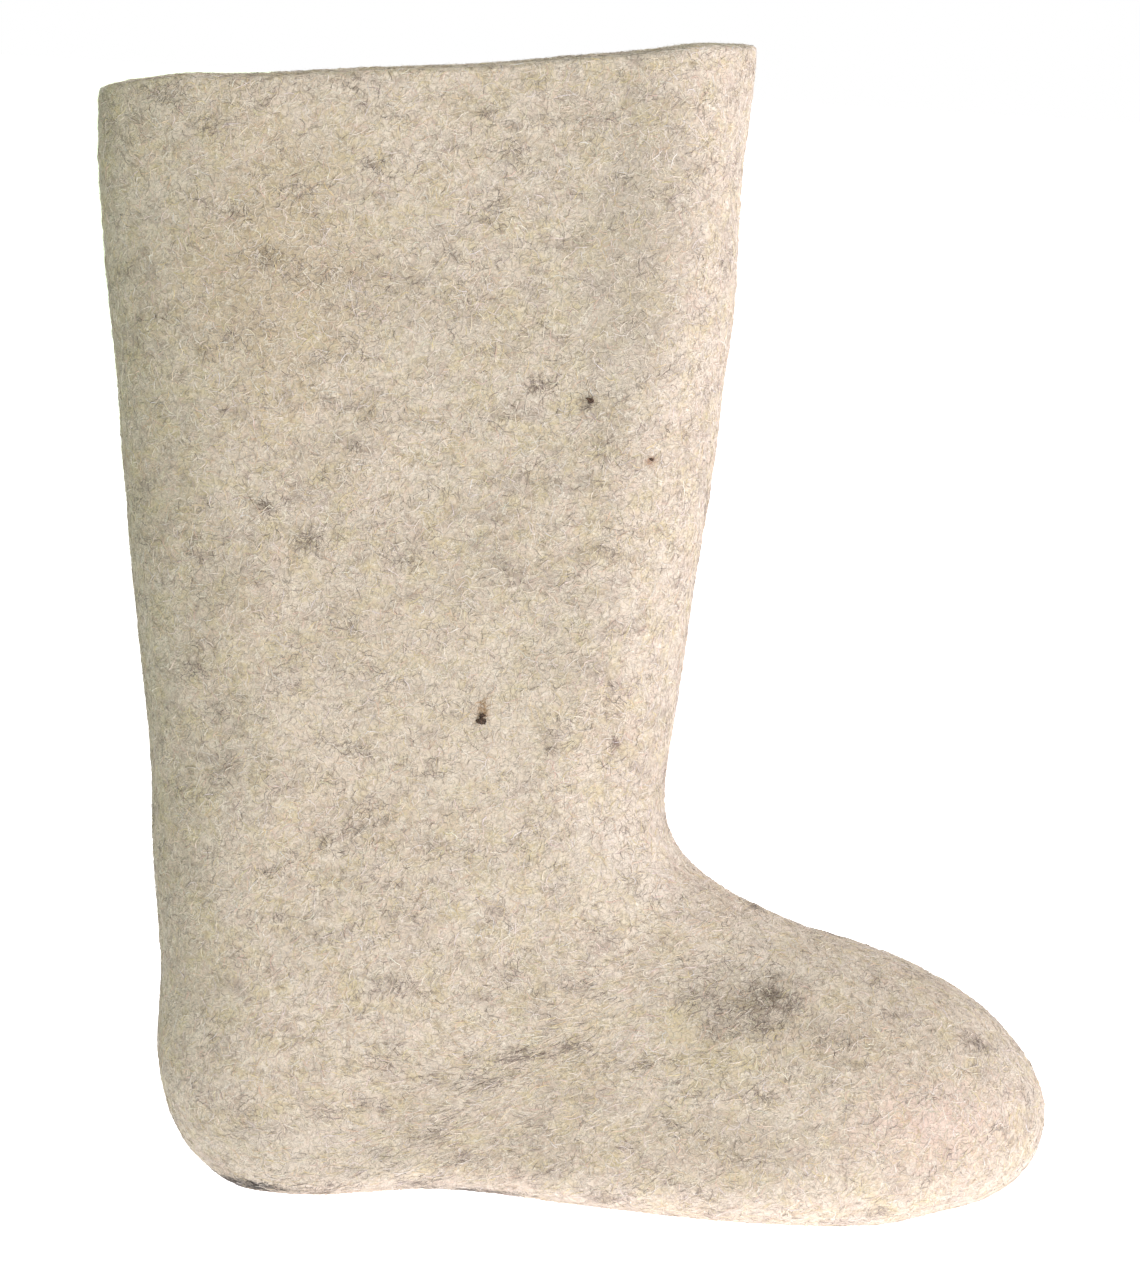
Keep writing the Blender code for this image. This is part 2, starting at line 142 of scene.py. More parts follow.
FOOT_LINES = (
    FootLineRow("throat", 0.000, 0.70, 1.00, -0.019, 0.679, 0.00, 0.00),
    FootLineRow("low throat", 0.022, 0.52, 1.00, -0.007, 0.429, 0.00, 0.00),
    FootLineRow("heel back", 0.055, 0.40, 1.00, 0.0075, 0.214, 0.00, 0.00),
    FootLineRow("heel turn", 0.088, 0.32, 1.00, 0.039, 0.080, 0.00, 0.00),
    FootLineRow("heel seat", 0.125, 0.25, 1.00, 0.100, 0.000, 0.05, 0.00),
    FootLineRow("heel front", 0.162, 0.19, 1.00, 0.180, 0.000, -0.12, 0.00),
    FootLineRow("arch", 0.208, 0.13, 1.00, 0.285, 0.000, 1.00, 0.00),
    FootLineRow("waist", 0.268, 0.07, 1.00, 0.403, 0.000, 0.94, 0.00),
    FootLineRow("ball rear", 0.351, 0.00, 1.00, 0.521, 0.000, 0.40, 0.00),
    FootLineRow("ball", 0.457, 0.00, 0.94, 0.639, 0.000, -0.05, 0.00),
    FootLineRow("ball front", 0.570, 0.00, 0.875, 0.730, 0.000, -0.05, 0.00),
    FootLineRow("toe root", 0.683, 0.00, 0.775, 0.825, 0.000, 0.00, 0.05),
    FootLineRow("toe bend", 0.796, 0.00, 0.642, 0.885, 0.000, 0.00, 0.155),
    FootLineRow("toe cap", 0.894, 0.00, 0.450, 0.936, 0.000, 0.00, 0.30),
    FootLineRow("toe nose", 0.962, 0.00, 0.258, 0.973, 0.000, 0.00, 0.50),
    FootLineRow("toe point", 0.992, 0.00, 0.100, 0.993, 0.000, 0.00, 0.75),
    FootLineRow("toe tip", 1.000, 0.00, 0.000, 1.000, 0.000, 0.00, 1.00),
)


class FootShapeRow(NamedTuple):
    """How one section of the foot is rounded, how wide it is and which wall it has."""

    place: str
    foot: float
    ball: float
    taper: float
    low_round: float
    top_round: float
    low_power: float
    press: float
    sole: float
    toe: float


FOOT_SHAPES = (
    FootShapeRow("throat", 0.45, 0.00, 1.00, 0.26, 0.26, 2.2, 0.0, 0.0, 0.0),
    FootShapeRow("low throat", 0.80, 0.00, 1.00, 0.24, 0.28, 2.2, 0.0, 0.0, 0.0),
    FootShapeRow("heel back", 1.00, 0.00, 1.00, 0.225, 0.31, 2.2, 0.0, 0.1, 0.0),
    FootShapeRow("heel turn", 1.00, 0.00, 1.00, 0.215, 0.34, 2.3, 0.0, 0.5, 0.0),
    FootShapeRow("heel seat", 1.00, 0.00, 1.00, 0.160, 0.38, 2.7, 1.0, 1.0, 0.0),
    FootShapeRow("heel front", 1.00, 0.03, 1.00, 0.115, 0.44, 3.0, 1.0, 1.0, 0.0),
    FootShapeRow("arch", 1.00, 0.11, 1.00, 0.128, 0.52, 3.0, 1.0, 1.0, 0.0),
    FootShapeRow("waist", 1.00, 0.33, 1.00, 0.148, 0.60, 3.0, 1.0, 1.0, 0.0),
    FootShapeRow("ball rear", 1.00, 0.65, 1.00, 0.170, 0.68, 3.0, 1.0, 1.0, 0.0),
    FootShapeRow("ball", 1.00, 0.93, 1.00, 0.185, 0.74, 3.0, 1.0, 1.0, 0.0),
    FootShapeRow("ball front", 1.00, 1.00, 0.995, 0.205, 0.76, 3.0, 1.0, 1.0, 0.05),
    FootShapeRow("toe root", 1.00, 1.00, 0.93, 0.240, 0.74, 2.9, 1.0, 0.9, 0.2),
    FootShapeRow("toe bend", 1.00, 1.00, 0.83, 0.300, 0.69, 2.7, 0.6, 0.6, 0.5),
    FootShapeRow("toe cap", 1.00, 1.00, 0.665, 0.380, 0.61, 2.5, 0.2, 0.3, 0.8),
    FootShapeRow("toe nose", 1.00, 1.00, 0.445, 0.460, 0.53, 2.3, 0.0, 0.0, 1.0),
    FootShapeRow("toe point", 1.00, 1.00, 0.235, 0.500, 0.50, 2.2, 0.0, 0.0, 1.0),
    FootShapeRow("toe tip", 1.00, 1.00, 0.00, 0.500, 0.50, 2.2, 0.0, 0.0, 1.0),
)

SHAFT_END, TOE_END, CAVITY_END = "ankle", "toe tip", "toe point"
INSOLE_FROM, INSOLE_TO = "heel seat", "toe bend"


class Section(NamedTuple):
    """An array of sections: two points, half-width, roundings, flattening and walls."""

    front_x: np.ndarray
    front_z: np.ndarray
    back_x: np.ndarray
    back_z: np.ndarray
    half_width: np.ndarray
    low_round: np.ndarray
    top_round: np.ndarray
    low_power: np.ndarray
    press: np.ndarray
    front_wall: np.ndarray
    back_wall: np.ndarray


def column(rows: tuple, name: str) -> np.ndarray:
    """One named column of a table as an array."""
    return np.array([getattr(row, name) for row in rows])


def mix(start: np.ndarray, end: np.ndarray, share: np.ndarray) -> np.ndarray:
    """The value at a share of the way from start to end."""
    return start + (end - start) * share


def smooth_step(value: np.ndarray, low: float, high: float) -> np.ndarray:
    """A value that rises smoothly from 0 at low to 1 at high."""
    share = np.clip((value - low) / (high - low), 0.0, 1.0)
    return share * share * (3 - 2 * share)


def roundness(share: np.ndarray, power: np.ndarray) -> np.ndarray:
    """A quarter of a superellipse: 0 at share 0, rising to 1 at share 1 and beyond."""
    return (1 - (1 - np.clip(share, 0.0, 1.0)) ** power) ** (1 / power)


def natural_spline(knots: np.ndarray, values: np.ndarray, at: np.ndarray) -> np.ndarray:
    """A natural cubic spline: each span blends its ends' values and bends by the distance to each end.

    Args:
        knots: Places of the rows along the path.
        values: One row of numbers for each knot.
        at: Places to read.

    Returns:
        One row of numbers for each place.
    """
    gaps = np.diff(knots)
    slopes = np.diff(values, axis=0) / gaps[:, None]
    system = np.eye(len(knots))
    jumps = np.zeros_like(values)
    for row in range(1, len(knots) - 1):
        system[row, row - 1] = gaps[row - 1]
        system[row, row] = 2 * (gaps[row - 1] + gaps[row])
        system[row, row + 1] = gaps[row]
        jumps[row] = 6 * (slopes[row] - slopes[row - 1])
    bends = np.linalg.solve(system, jumps)
    cell = np.clip(np.searchsorted(knots, at, side="right") - 1, 0, len(knots) - 2)
    gap = gaps[cell][:, None]
    before = (at - knots[cell])[:, None]
    after = (knots[cell + 1] - at)[:, None]
    curved = (bends[cell] * after**3 + bends[cell + 1] * before**3) / (6 * gap)
    left = (values[cell] / gap - bends[cell] * gap / 6) * after
    right = (values[cell + 1] / gap - bends[cell + 1] * gap / 6) * before
    return curved + left + right


@dataclass
class BootForm:
    """The boot's form as smooth sections along one path, from the collar to the toe tip."""

    sizes: BootSizes = field(default_factory=BootSizes)
    half_segments: int = 120
    outline_samples: int = 400
    bend_weight: float = 0.35
    most_turn: float = 0.06
    difference_step: float = 0.0005
    flat_within: float = 0.0001

    def __post_init__(self) -> None:
        """Joins the shaft's and the foot's sections and measures the path through them."""
        pairs = zip(self.shaft_sections(), self.foot_sections())
        self.table = np.column_stack([np.concatenate(pair) for pair in pairs])
        self.places = [row.place for row in SHAFT_ROWS + FOOT_LINES]
        front_steps = np.hypot(*np.diff(self.table[:, 0:2], axis=0).T)
        back_steps = np.hypot(*np.diff(self.table[:, 2:4], axis=0).T)
        self.knots = np.concatenate([[0.0], np.cumsum((front_steps + back_steps) / 2)])

    def shaft_sections(self) -> Section:
        """The shaft's sections: ankle and collar sizes mixed by the table's shares.

        Returns:
            The sections from the collar down to the ankle.
        """
        sizes = self.sizes
        up, lean = column(SHAFT_ROWS, "up"), column(SHAFT_ROWS, "lean")
        narrow, spread = column(SHAFT_ROWS, "narrow"), column(SHAFT_ROWS, "spread")
        middle = sizes.ankle_length / 2 - sizes.ankle_back - sizes.shaft_lean * lean
        half_length = mix(sizes.ankle_length, sizes.collar_length, spread) / 2
        even = np.ones(len(SHAFT_ROWS))
        return Section(
            front_x=middle + half_length,
            front_z=mix(sizes.ankle_height, sizes.boot_height, up),
            back_x=middle - half_length,
            back_z=mix(sizes.ankle_height - sizes.ankle_drop, sizes.boot_height - sizes.collar_drop, up),
            half_width=mix(sizes.ankle_width, sizes.collar_width, narrow) / 2,
            low_round=column(SHAFT_ROWS, "back_round"),
            top_round=column(SHAFT_ROWS, "front_round"),
            low_power=sizes.crest_power * even,
            press=0.0 * even,
            front_wall=sizes.shaft_wall * even,
            back_wall=sizes.shaft_wall * even,
        )

    def foot_sections(self) -> Section:
        """The foot's sections: the foot's sizes mixed and added by the tables' shares.

        Returns:
            The sections from the throat down round the heel and on to the toe tip.
        """
        sizes = self.sizes
        ankle_front = sizes.ankle_length - sizes.ankle_back
        foot, toe = column(FOOT_SHAPES, "foot"), column(FOOT_SHAPES, "toe")
        front_z = (
            sizes.toe_tip_height
            + (sizes.instep_height - sizes.toe_tip_height) * column(FOOT_LINES, "instep_rise")
            + (sizes.ankle_height - sizes.instep_height) * column(FOOT_LINES, "ankle_rise")
        )
        back_z = (
            (sizes.ankle_height - sizes.ankle_drop) * column(FOOT_LINES, "heel_rise")
            + sizes.arch_height * column(FOOT_LINES, "arch_rise")
            + sizes.toe_tip_height * column(FOOT_LINES, "spring")
        )
        width = mix(sizes.ankle_width, sizes.heel_width, foot)
        width = mix(width, sizes.ball_width, column(FOOT_SHAPES, "ball"))
        upper_wall = mix(mix(sizes.shaft_wall, sizes.vamp_wall, foot), sizes.toe_wall, toe)
        heel_wall = mix(sizes.shaft_wall, sizes.heel_wall, foot)
        heel_wall = mix(heel_wall, sizes.sole_thickness, column(FOOT_SHAPES, "sole"))
        return Section(
            front_x=mix(ankle_front, sizes.toe_x, column(FOOT_LINES, "top_reach")),
            front_z=front_z,
            back_x=sizes.foot_length * column(FOOT_LINES, "sole_reach") - sizes.heel_reach,
            back_z=back_z,
            half_width=width * column(FOOT_SHAPES, "taper") / 2,
            low_round=column(FOOT_SHAPES, "low_round"),
            top_round=column(FOOT_SHAPES, "top_round"),
            low_power=column(FOOT_SHAPES, "low_power"),
            press=sizes.floor_press * column(FOOT_SHAPES, "press"),
            front_wall=upper_wall,
            back_wall=mix(heel_wall, sizes.toe_wall, toe),
        )

    def knot(self, place: str) -> float:
        """How far along the path a named section is."""
        return float(self.knots[self.places.index(place)])

    def sections(self, path: np.ndarray) -> Section:
        """The outer sections at the given places on the path."""
        return Section(*natural_spline(self.knots, self.table, path).T)

    def inset(self, path: np.ndarray, depth: np.ndarray) -> Section:
        """The sections moved into the felt, square to the front line and the back line.

        Args:
            path: Places on the path.
            depth: For each place, the share of the wall to move by.

        Returns:
            The moved sections, with their corners drawn in by as much.
        """
        outer = self.sections(path)
        later = self.sections(np.minimum(path + self.difference_step, self.knots[-1]))
        earlier = self.sections(np.maximum(path - self.difference_step, 0.0))
        front_in, back_in = depth * outer.front_wall, depth * outer.back_wall
        front_run = np.stack([later.front_x - earlier.front_x, later.front_z - earlier.front_z])
        back_run = np.stack([later.back_x - earlier.back_x, later.back_z - earlier.back_z])
        middle_run = np.hypot(*(front_run + back_run))
        front_run, back_run = front_run / np.hypot(*front_run), back_run / np.hypot(*back_run)
        narrowing = (later.half_width - earlier.half_width) * 2 / middle_run
        front_x = outer.front_x + front_in * front_run[1]
        front_z = outer.front_z - front_in * front_run[0]
        back_x = outer.back_x - back_in * back_run[1]
        back_z = outer.back_z + back_in * back_run[0]
        outer_length = np.hypot(outer.front_x - outer.back_x, outer.front_z - outer.back_z)
        length = np.hypot(front_x - back_x, front_z - back_z)
        low, top = outer.low_round * outer_length, outer.top_round * outer_length
        least = self.sizes.least_inner_round
        return outer._replace(
            front_x=front_x,
            front_z=front_z,
            back_x=back_x,
            back_z=back_z,
            half_width=outer.half_width - front_in / np.sqrt(1 + narrowing**2),
            low_round=np.maximum(low - back_in, least * low) / length,
            top_round=np.maximum(top - front_in, least * top) / length,
        )

    def rings(self, path: np.ndarray, depth: np.ndarray) -> np.ndarray:
        """The sections' outlines: half-width times a superellipse quarter at each end of the length.

        Args:
            path: Places on the path.
            depth: For each place, the share of the wall to move in by.

        Returns:
            Rings by points by coordinates, each ring from the sole's middle round the near side and back.
        """
        section = self.inset(path, depth)
        parts = {name: values[:, None] for name, values in section._asdict().items()}
        length = np.hypot(parts["front_x"] - parts["back_x"], parts["front_z"] - parts["back_z"])
        low, top = parts["low_round"] * length, parts["top_round"] * length
        along = length * (1 - np.cos(np.linspace(0, np.pi, self.outline_samples))) / 2
        low_end = roundness((along + parts["press"]) / (low + parts["press"]), parts["low_power"])
        top_end = roundness((length - along) / top, self.sizes.crest_power)
        across = parts["half_width"] * low_end * top_end
        start = np.zeros_like(length)
        along, across = np.hstack([start, along]), np.hstack([start, across])
        steps = np.hypot(np.diff(along), np.diff(across))
        heading = np.unwrap(np.arctan2(np.diff(along), np.diff(across)))
        turning = np.minimum(np.abs(np.diff(heading, prepend=heading[:, :1])), self.most_turn)
        measure = steps / steps.sum(axis=1, keepdims=True) + self.bend_weight * turning / np.pi
        measure = np.hstack([start, np.cumsum(measure, axis=1)])
        even = np.linspace(0, 1, self.half_segments + 1)
        share = np.array([np.interp(even * m[-1], m, a) for m, a in zip(measure, along)]) / length
        across = np.array([np.interp(even * m[-1], m, a) for m, a in zip(measure, across)])
        across[:, [0, -1]] = 0.0
        x = mix(parts["back_x"], parts["front_x"], share)
        z = mix(parts["back_z"], parts["front_z"], share)
        near, far = np.stack([x, -across, z], axis=-1), np.stack([x, across, z], axis=-1)
        rings = np.concatenate([near, far[:, -2:0:-1]], axis=1)
        rings[..., 2][rings[..., 2] < self.flat_within] = 0.0
        return rings


@dataclass(frozen=True)
class WaveField:
    """A smooth random field: many plane waves of random direction, length and phase, added and evened out."""

    seed: int
    shortest: float
    longest: float
    waves: int = 48

    def read(self, points: np.ndarray) -> np.ndarray:
        """The field's value: the waves' cosines added up, over the square root of their number.

        Args:
            points: Points in metres, in any arrangement.

        Returns:
            One value for each point, -1 to 1 for most of them.
        """
        chance = np.random.default_rng(self.seed)
        heading = chance.normal(size=(self.waves, 3))
        heading /= np.linalg.norm(heading, axis=1, keepdims=True)
        lengths = np.exp(chance.uniform(math.log(self.shortest), math.log(self.longest), self.waves))
        phases = chance.uniform(0, 2 * np.pi, self.waves)
        total = np.zeros(points.shape[:-1])
        for direction, length, phase in zip(heading, lengths, phases):
            total += np.cos(points @ direction * (2 * np.pi / length) + phase)
        return total / math.sqrt(self.waves)


class Fold(NamedTuple):
    """A soft trough or ridge: its middle, heading, half-length, half-width and height, in metres."""

    name: str
    x: float
    z: float
    heading_degrees: float
    half_length: float
    half_width: float
    height: float


FOLDS = (
    Fold("throat trough", 0.108, 0.128, 150.0, 0.034, 0.011, -0.0012),
    Fold("ridge under the throat", 0.118, 0.104, 150.0, 0.030, 0.012, 0.0007),
    Fold("heel trough", -0.030, 0.078, 20.0, 0.026, 0.012, -0.0006),
    Fold("heel ridge", -0.022, 0.044, 10.0, 0.026, 0.014, 0.0005),
    Fold("vamp hollow", 0.156, 0.072, 165.0, 0.020, 0.014, -0.0008),
    Fold("ball ridge", 0.172, 0.046, 170.0, 0.034, 0.014, 0.0006),
    Fold("toe root trough", 0.202, 0.060, 112.0, 0.020, 0.009, -0.0006),
    Fold("vamp top hollow", 0.195, 0.091, 159.0, 0.050, 0.013, -0.0016),
    Fold("back edge swell", -0.056, 0.180, 96.0, 0.055, 0.014, 0.0013),
    Fold("heel back swell", -0.043, 0.034, 80.0, 0.024, 0.012, 0.0014),
    Fold("toe underside swell", 0.243, 0.022, 45.0, 0.026, 0.012, 0.0016),
    Fold("mid shaft hollow", 0.030, 0.245, 95.0, 0.060, 0.030, -0.0011),
    Fold("back shaft ridge", -0.036, 0.250, 98.0, 0.075, 0.020, 0.0007),
    Fold("front shaft ridge", 0.098, 0.250, 88.0, 0.080, 0.016, 0.0006),
)


class RimWave(NamedTuple):
    """A rise or dip in the hand-cut collar edge: its middle along X, half-width and height, in metres."""

    x: float
    half_width: float
    rise: float


RIM_WAVES = (
    RimWave(-0.058, 0.017, 0.0015),
    RimWave(0.042, 0.028, -0.0010),
    RimWave(0.114, 0.013, 0.0014),
    RimWave(-0.087, 0.006, -0.0016),
)


@dataclass
class Skin:
    """One side of the felt as a grid of points, with what is needed to lay hairs on it."""

    points: np.ndarray
    normals: np.ndarray
    ring_step: np.ndarray
    around_step: np.ndarray
    end_margin: float = 0.001

    @classmethod
    def of(cls, points: np.ndarray) -> "Skin":
        """The skin of a grid of rings, its normals square to both directions and pointing out.

        Args:
            points: Rings by points by coordinates, from the collar to the toe.

        Returns:
            The skin, with the metres between neighbouring points along and across.
        """
        along = np.gradient(points, axis=0)
        around = (np.roll(points, -1, axis=1) - np.roll(points, 1, axis=1)) / 2
        normals = np.cross(along, around)
        normals /= np.maximum(np.linalg.norm(normals, axis=-1, keepdims=True), TINY)
        return cls(points, normals, np.linalg.norm(along, axis=-1), np.linalg.norm(around, axis=-1))

    def read(self, grid: np.ndarray, ring: np.ndarray, spot: np.ndarray) -> np.ndarray:
        """A grid's value between its points: the four nearest, weighted by how near they are.

        Args:
            grid: One value or one vector for each point of the skin.
            ring: Places in rings.
            spot: Places round the ring.

        Returns:
            The values, in the shape of the places.
        """
        rings, around = self.points.shape[:2]
        ring = np.clip(ring, 0, rings - 1 - self.end_margin)
        low, left = np.floor(ring).astype(int), np.floor(spot).astype(int)
        up, right = ring - low, spot - left
        left, next_left = left % around, (left + 1) % around
        if grid.ndim == 3:
            up, right = up[..., None], right[..., None]
        lower = mix(grid[low, left], grid[low, next_left], right)
        upper = mix(grid[low + 1, left], grid[low + 1, next_left], right)
        return mix(lower, upper, up)


def tube_faces(rings: int, around: int) -> tuple[np.ndarray, np.ndarray]:
    """Quads between neighbouring rings, and a fan of triangles to a tip at each end.

    Args:
        rings: How many rings there are.
        around: How many points each has.

    Returns:
        The quads and the triangles, as rows of point numbers. The tips come after the rings' points.
    """
    ring, point = np.meshgrid(np.arange(rings - 1), np.arange(around), indexing="ij")
    after = (point + 1) % around
    near, far = ring * around, (ring + 1) * around
    quads = np.stack([near + point, near + after, far + after, far + point], axis=-1).reshape(-1, 4)
    point = np.arange(around)
    after = (point + 1) % around
    last = (rings - 1) * around
    first_fan = np.stack([after, point, np.full(around, rings * around)], axis=-1)
    last_fan = np.stack([last + point, last + after, np.full(around, rings * around + 1)], axis=-1)
    return quads, np.concatenate([first_fan, last_fan])


def make_piece(
    name: str,
    points: np.ndarray,
    faces: list[np.ndarray],
    material: bpy.types.Material,
    colours: np.ndarray | None = None,
) -> bpy.types.Object:
    """A smooth-shaded mesh piece that rides on the boot.

    Args:
        name: The piece's name.
        points: Its points, in metres.
        faces: Arrays of faces, each with its own number of corners.
        material: Its material.
        colours: A colour for each point, kept in the attribute "tint".

    Returns:
        The new object.
    """
    mesh = bpy.data.meshes.new(name)
    corners = np.concatenate([group.ravel() for group in faces])
    counts = np.concatenate([np.full(len(group), group.shape[1]) for group in faces])
    mesh.vertices.add(len(points))
    mesh.vertices.foreach_set("co", points.astype(np.float32).ravel())
    mesh.loops.add(len(corners))
    mesh.loops.foreach_set("vertex_index", corners.astype(np.int32))
    mesh.polygons.add(len(counts))
    mesh.polygons.foreach_set("loop_start", np.concatenate([[0], np.cumsum(counts)[:-1]]).astype(np.int32))
    mesh.polygons.foreach_set("use_smooth", np.ones(len(counts), dtype=bool))
    mesh.update(calc_edges=True)
    mesh.validate()
    if colours is not None:
        tint = mesh.color_attributes.new("tint", "FLOAT_COLOR", "POINT")
        full = np.column_stack([colours, np.ones(len(colours))])
        tint.data.foreach_set("color", full.astype(np.float32).ravel())
    mesh.materials.append(material)
    piece = bpy.data.objects.new(name, mesh)
    bpy.context.scene.collection.objects.link(piece)
    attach(piece, BODY)
    LOG.info("%s: %d points, %d faces", name, len(points), len(counts))
    return piece


@dataclass
class FeltBoot:
    """The one felted piece: outer skin, rounded rim and inner skin in one closed surface."""

    form: BootForm
    outer_rings: int = 300
    inner_rings: int = 86
    rim_steps: int = 4
    swell: WaveField = WaveField(11, 0.030, 0.080)
    lumps: WaveField = WaveField(12, 0.006, 0.014)
    swell_height: float = 0.00045
    lump_height: float = 0.00010
    far_rim_lift: float = 0.0003
    far_rim_span: Span = (-0.01, 0.02)
    rim_reach: float = 0.030
    plain_edge: float = 0.004
    sole_fade: float = 0.006

    def __post_init__(self) -> None:
        """Works out the outer rings once, and the skin of rim and outer rings that the hairs lie on."""
        sizes = self.form.sizes
        self.outer_path = np.linspace(sizes.rim_round, self.form.knot(TOE_END), self.outer_rings + 1)[:-1]
        self.outer = self.outer_points()
        self.skin = Skin.of(np.concatenate([self.rim_points()[::-1], self.outer]))

    def rim_moved(self, points: np.ndarray, path: np.ndarray) -> np.ndarray:
        """The points lifted by the collar's waves: a sum of bell curves along X, fading down the shaft.

        Args:
            points: Rings by points by coordinates.
            path: Each ring's place on the path.

        Returns:
            The lifted points.
        """
        lift = self.far_rim_lift * smooth_step(points[..., 1], *self.far_rim_span)
        for wave in RIM_WAVES:
            lift = lift + wave.rise * np.exp(-(((points[..., 0] - wave.x) / wave.half_width) ** 2))
        fade = 1 - smooth_step(path, 0.0, self.rim_reach)
        moved = points.copy()
        moved[..., 2] += lift * fade[:, None]
        return moved

    def folded(self, points: np.ndarray) -> np.ndarray:
        """The soft folds' height: for each fold, a bell curve along its heading times one across it.

        Args:
            points: Points in any arrangement.

        Returns:
            The height at each point, in metres out of the felt.
        """
        height = np.zeros(points.shape[:-1])
        for fold in FOLDS:
            angle = math.radians(fold.heading_degrees)
            x, z = points[..., 0] - fold.x, points[..., 2] - fold.z
            along = (x * math.cos(angle) + z * math.sin(angle)) / fold.half_length
            across = (z * math.cos(angle) - x * math.sin(angle)) / fold.half_width
            height += fold.height * np.exp(-(along**2) - across**2)
        return height

    def outer_points(self) -> np.ndarray:
        """The outer skin: the form's rings moved out by swells, lumps and folds, and flat on the floor.

        Returns:
            Rings by points by coordinates, from under the rim to the toe.
        """
        rings = self.form.rings(self.outer_path, np.zeros_like(self.outer_path))
        normals = Skin.of(rings).normals
        relief = self.swell_height * self.swell.read(rings) + self.lump_height * self.lumps.read(rings)
        relief += self.folded(rings)
        relief *= smooth_step(rings[..., 2], 0.0, self.sole_fade)
        relief *= smooth_step(self.outer_path, self.form.sizes.rim_round, self.plain_edge)[:, None]
        moved = self.rim_moved(rings + normals * relief[..., None], self.outer_path)
        moved[..., 2] = np.maximum(moved[..., 2], 0.0)
        return moved

    def rim_points(self) -> np.ndarray:
        """The rim: a quarter circle in from the outer skin, and one down to the inner skin.

        Returns:
            Rings by points by coordinates, from the outer skin to the inner one.
        """
        sizes = self.form.sizes
        angle = np.linspace(0, np.pi / 2, self.rim_steps + 1)[1:]
        down = sizes.rim_round * (1 - np.sin(angle))
        share = sizes.rim_round * (1 - np.cos(angle)) / sizes.shaft_wall
        down = np.concatenate([down, down[::-1]])
        share = np.concatenate([share, 1 - share[::-1]])
        return self.rim_moved(self.form.rings(down, share), down)

    def inner_points(self) -> np.ndarray:
        """The inner skin: the form's rings, a whole wall further in."""
        path = np.linspace(self.form.sizes.rim_round, self.form.knot(CAVITY_END), self.inner_rings)
        return self.rim_moved(self.form.rings(path, np.ones_like(path)), path)

    def build(self, material: bpy.types.Material) -> bpy.types.Object:
        """Joins the three parts from the toe up the outside, over the rim and down the inside.

        Args:
            material: The felt.

        Returns:
            The piece that stands for the CAD node.
        """
        sizes = self.form.sizes
        rings = np.concatenate([self.outer[::-1], self.rim_points(), self.inner_points()])
        tips = [[x, 0, sizes.toe_tip_height] for x in (sizes.toe_x, sizes.toe_x - sizes.toe_wall)]
        points = np.concatenate([rings.reshape(-1, 3), tips])
        faces = list(tube_faces(*rings.shape[:2]))
        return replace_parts(make_piece("felt_surface", points, faces, material), "felt_boot")


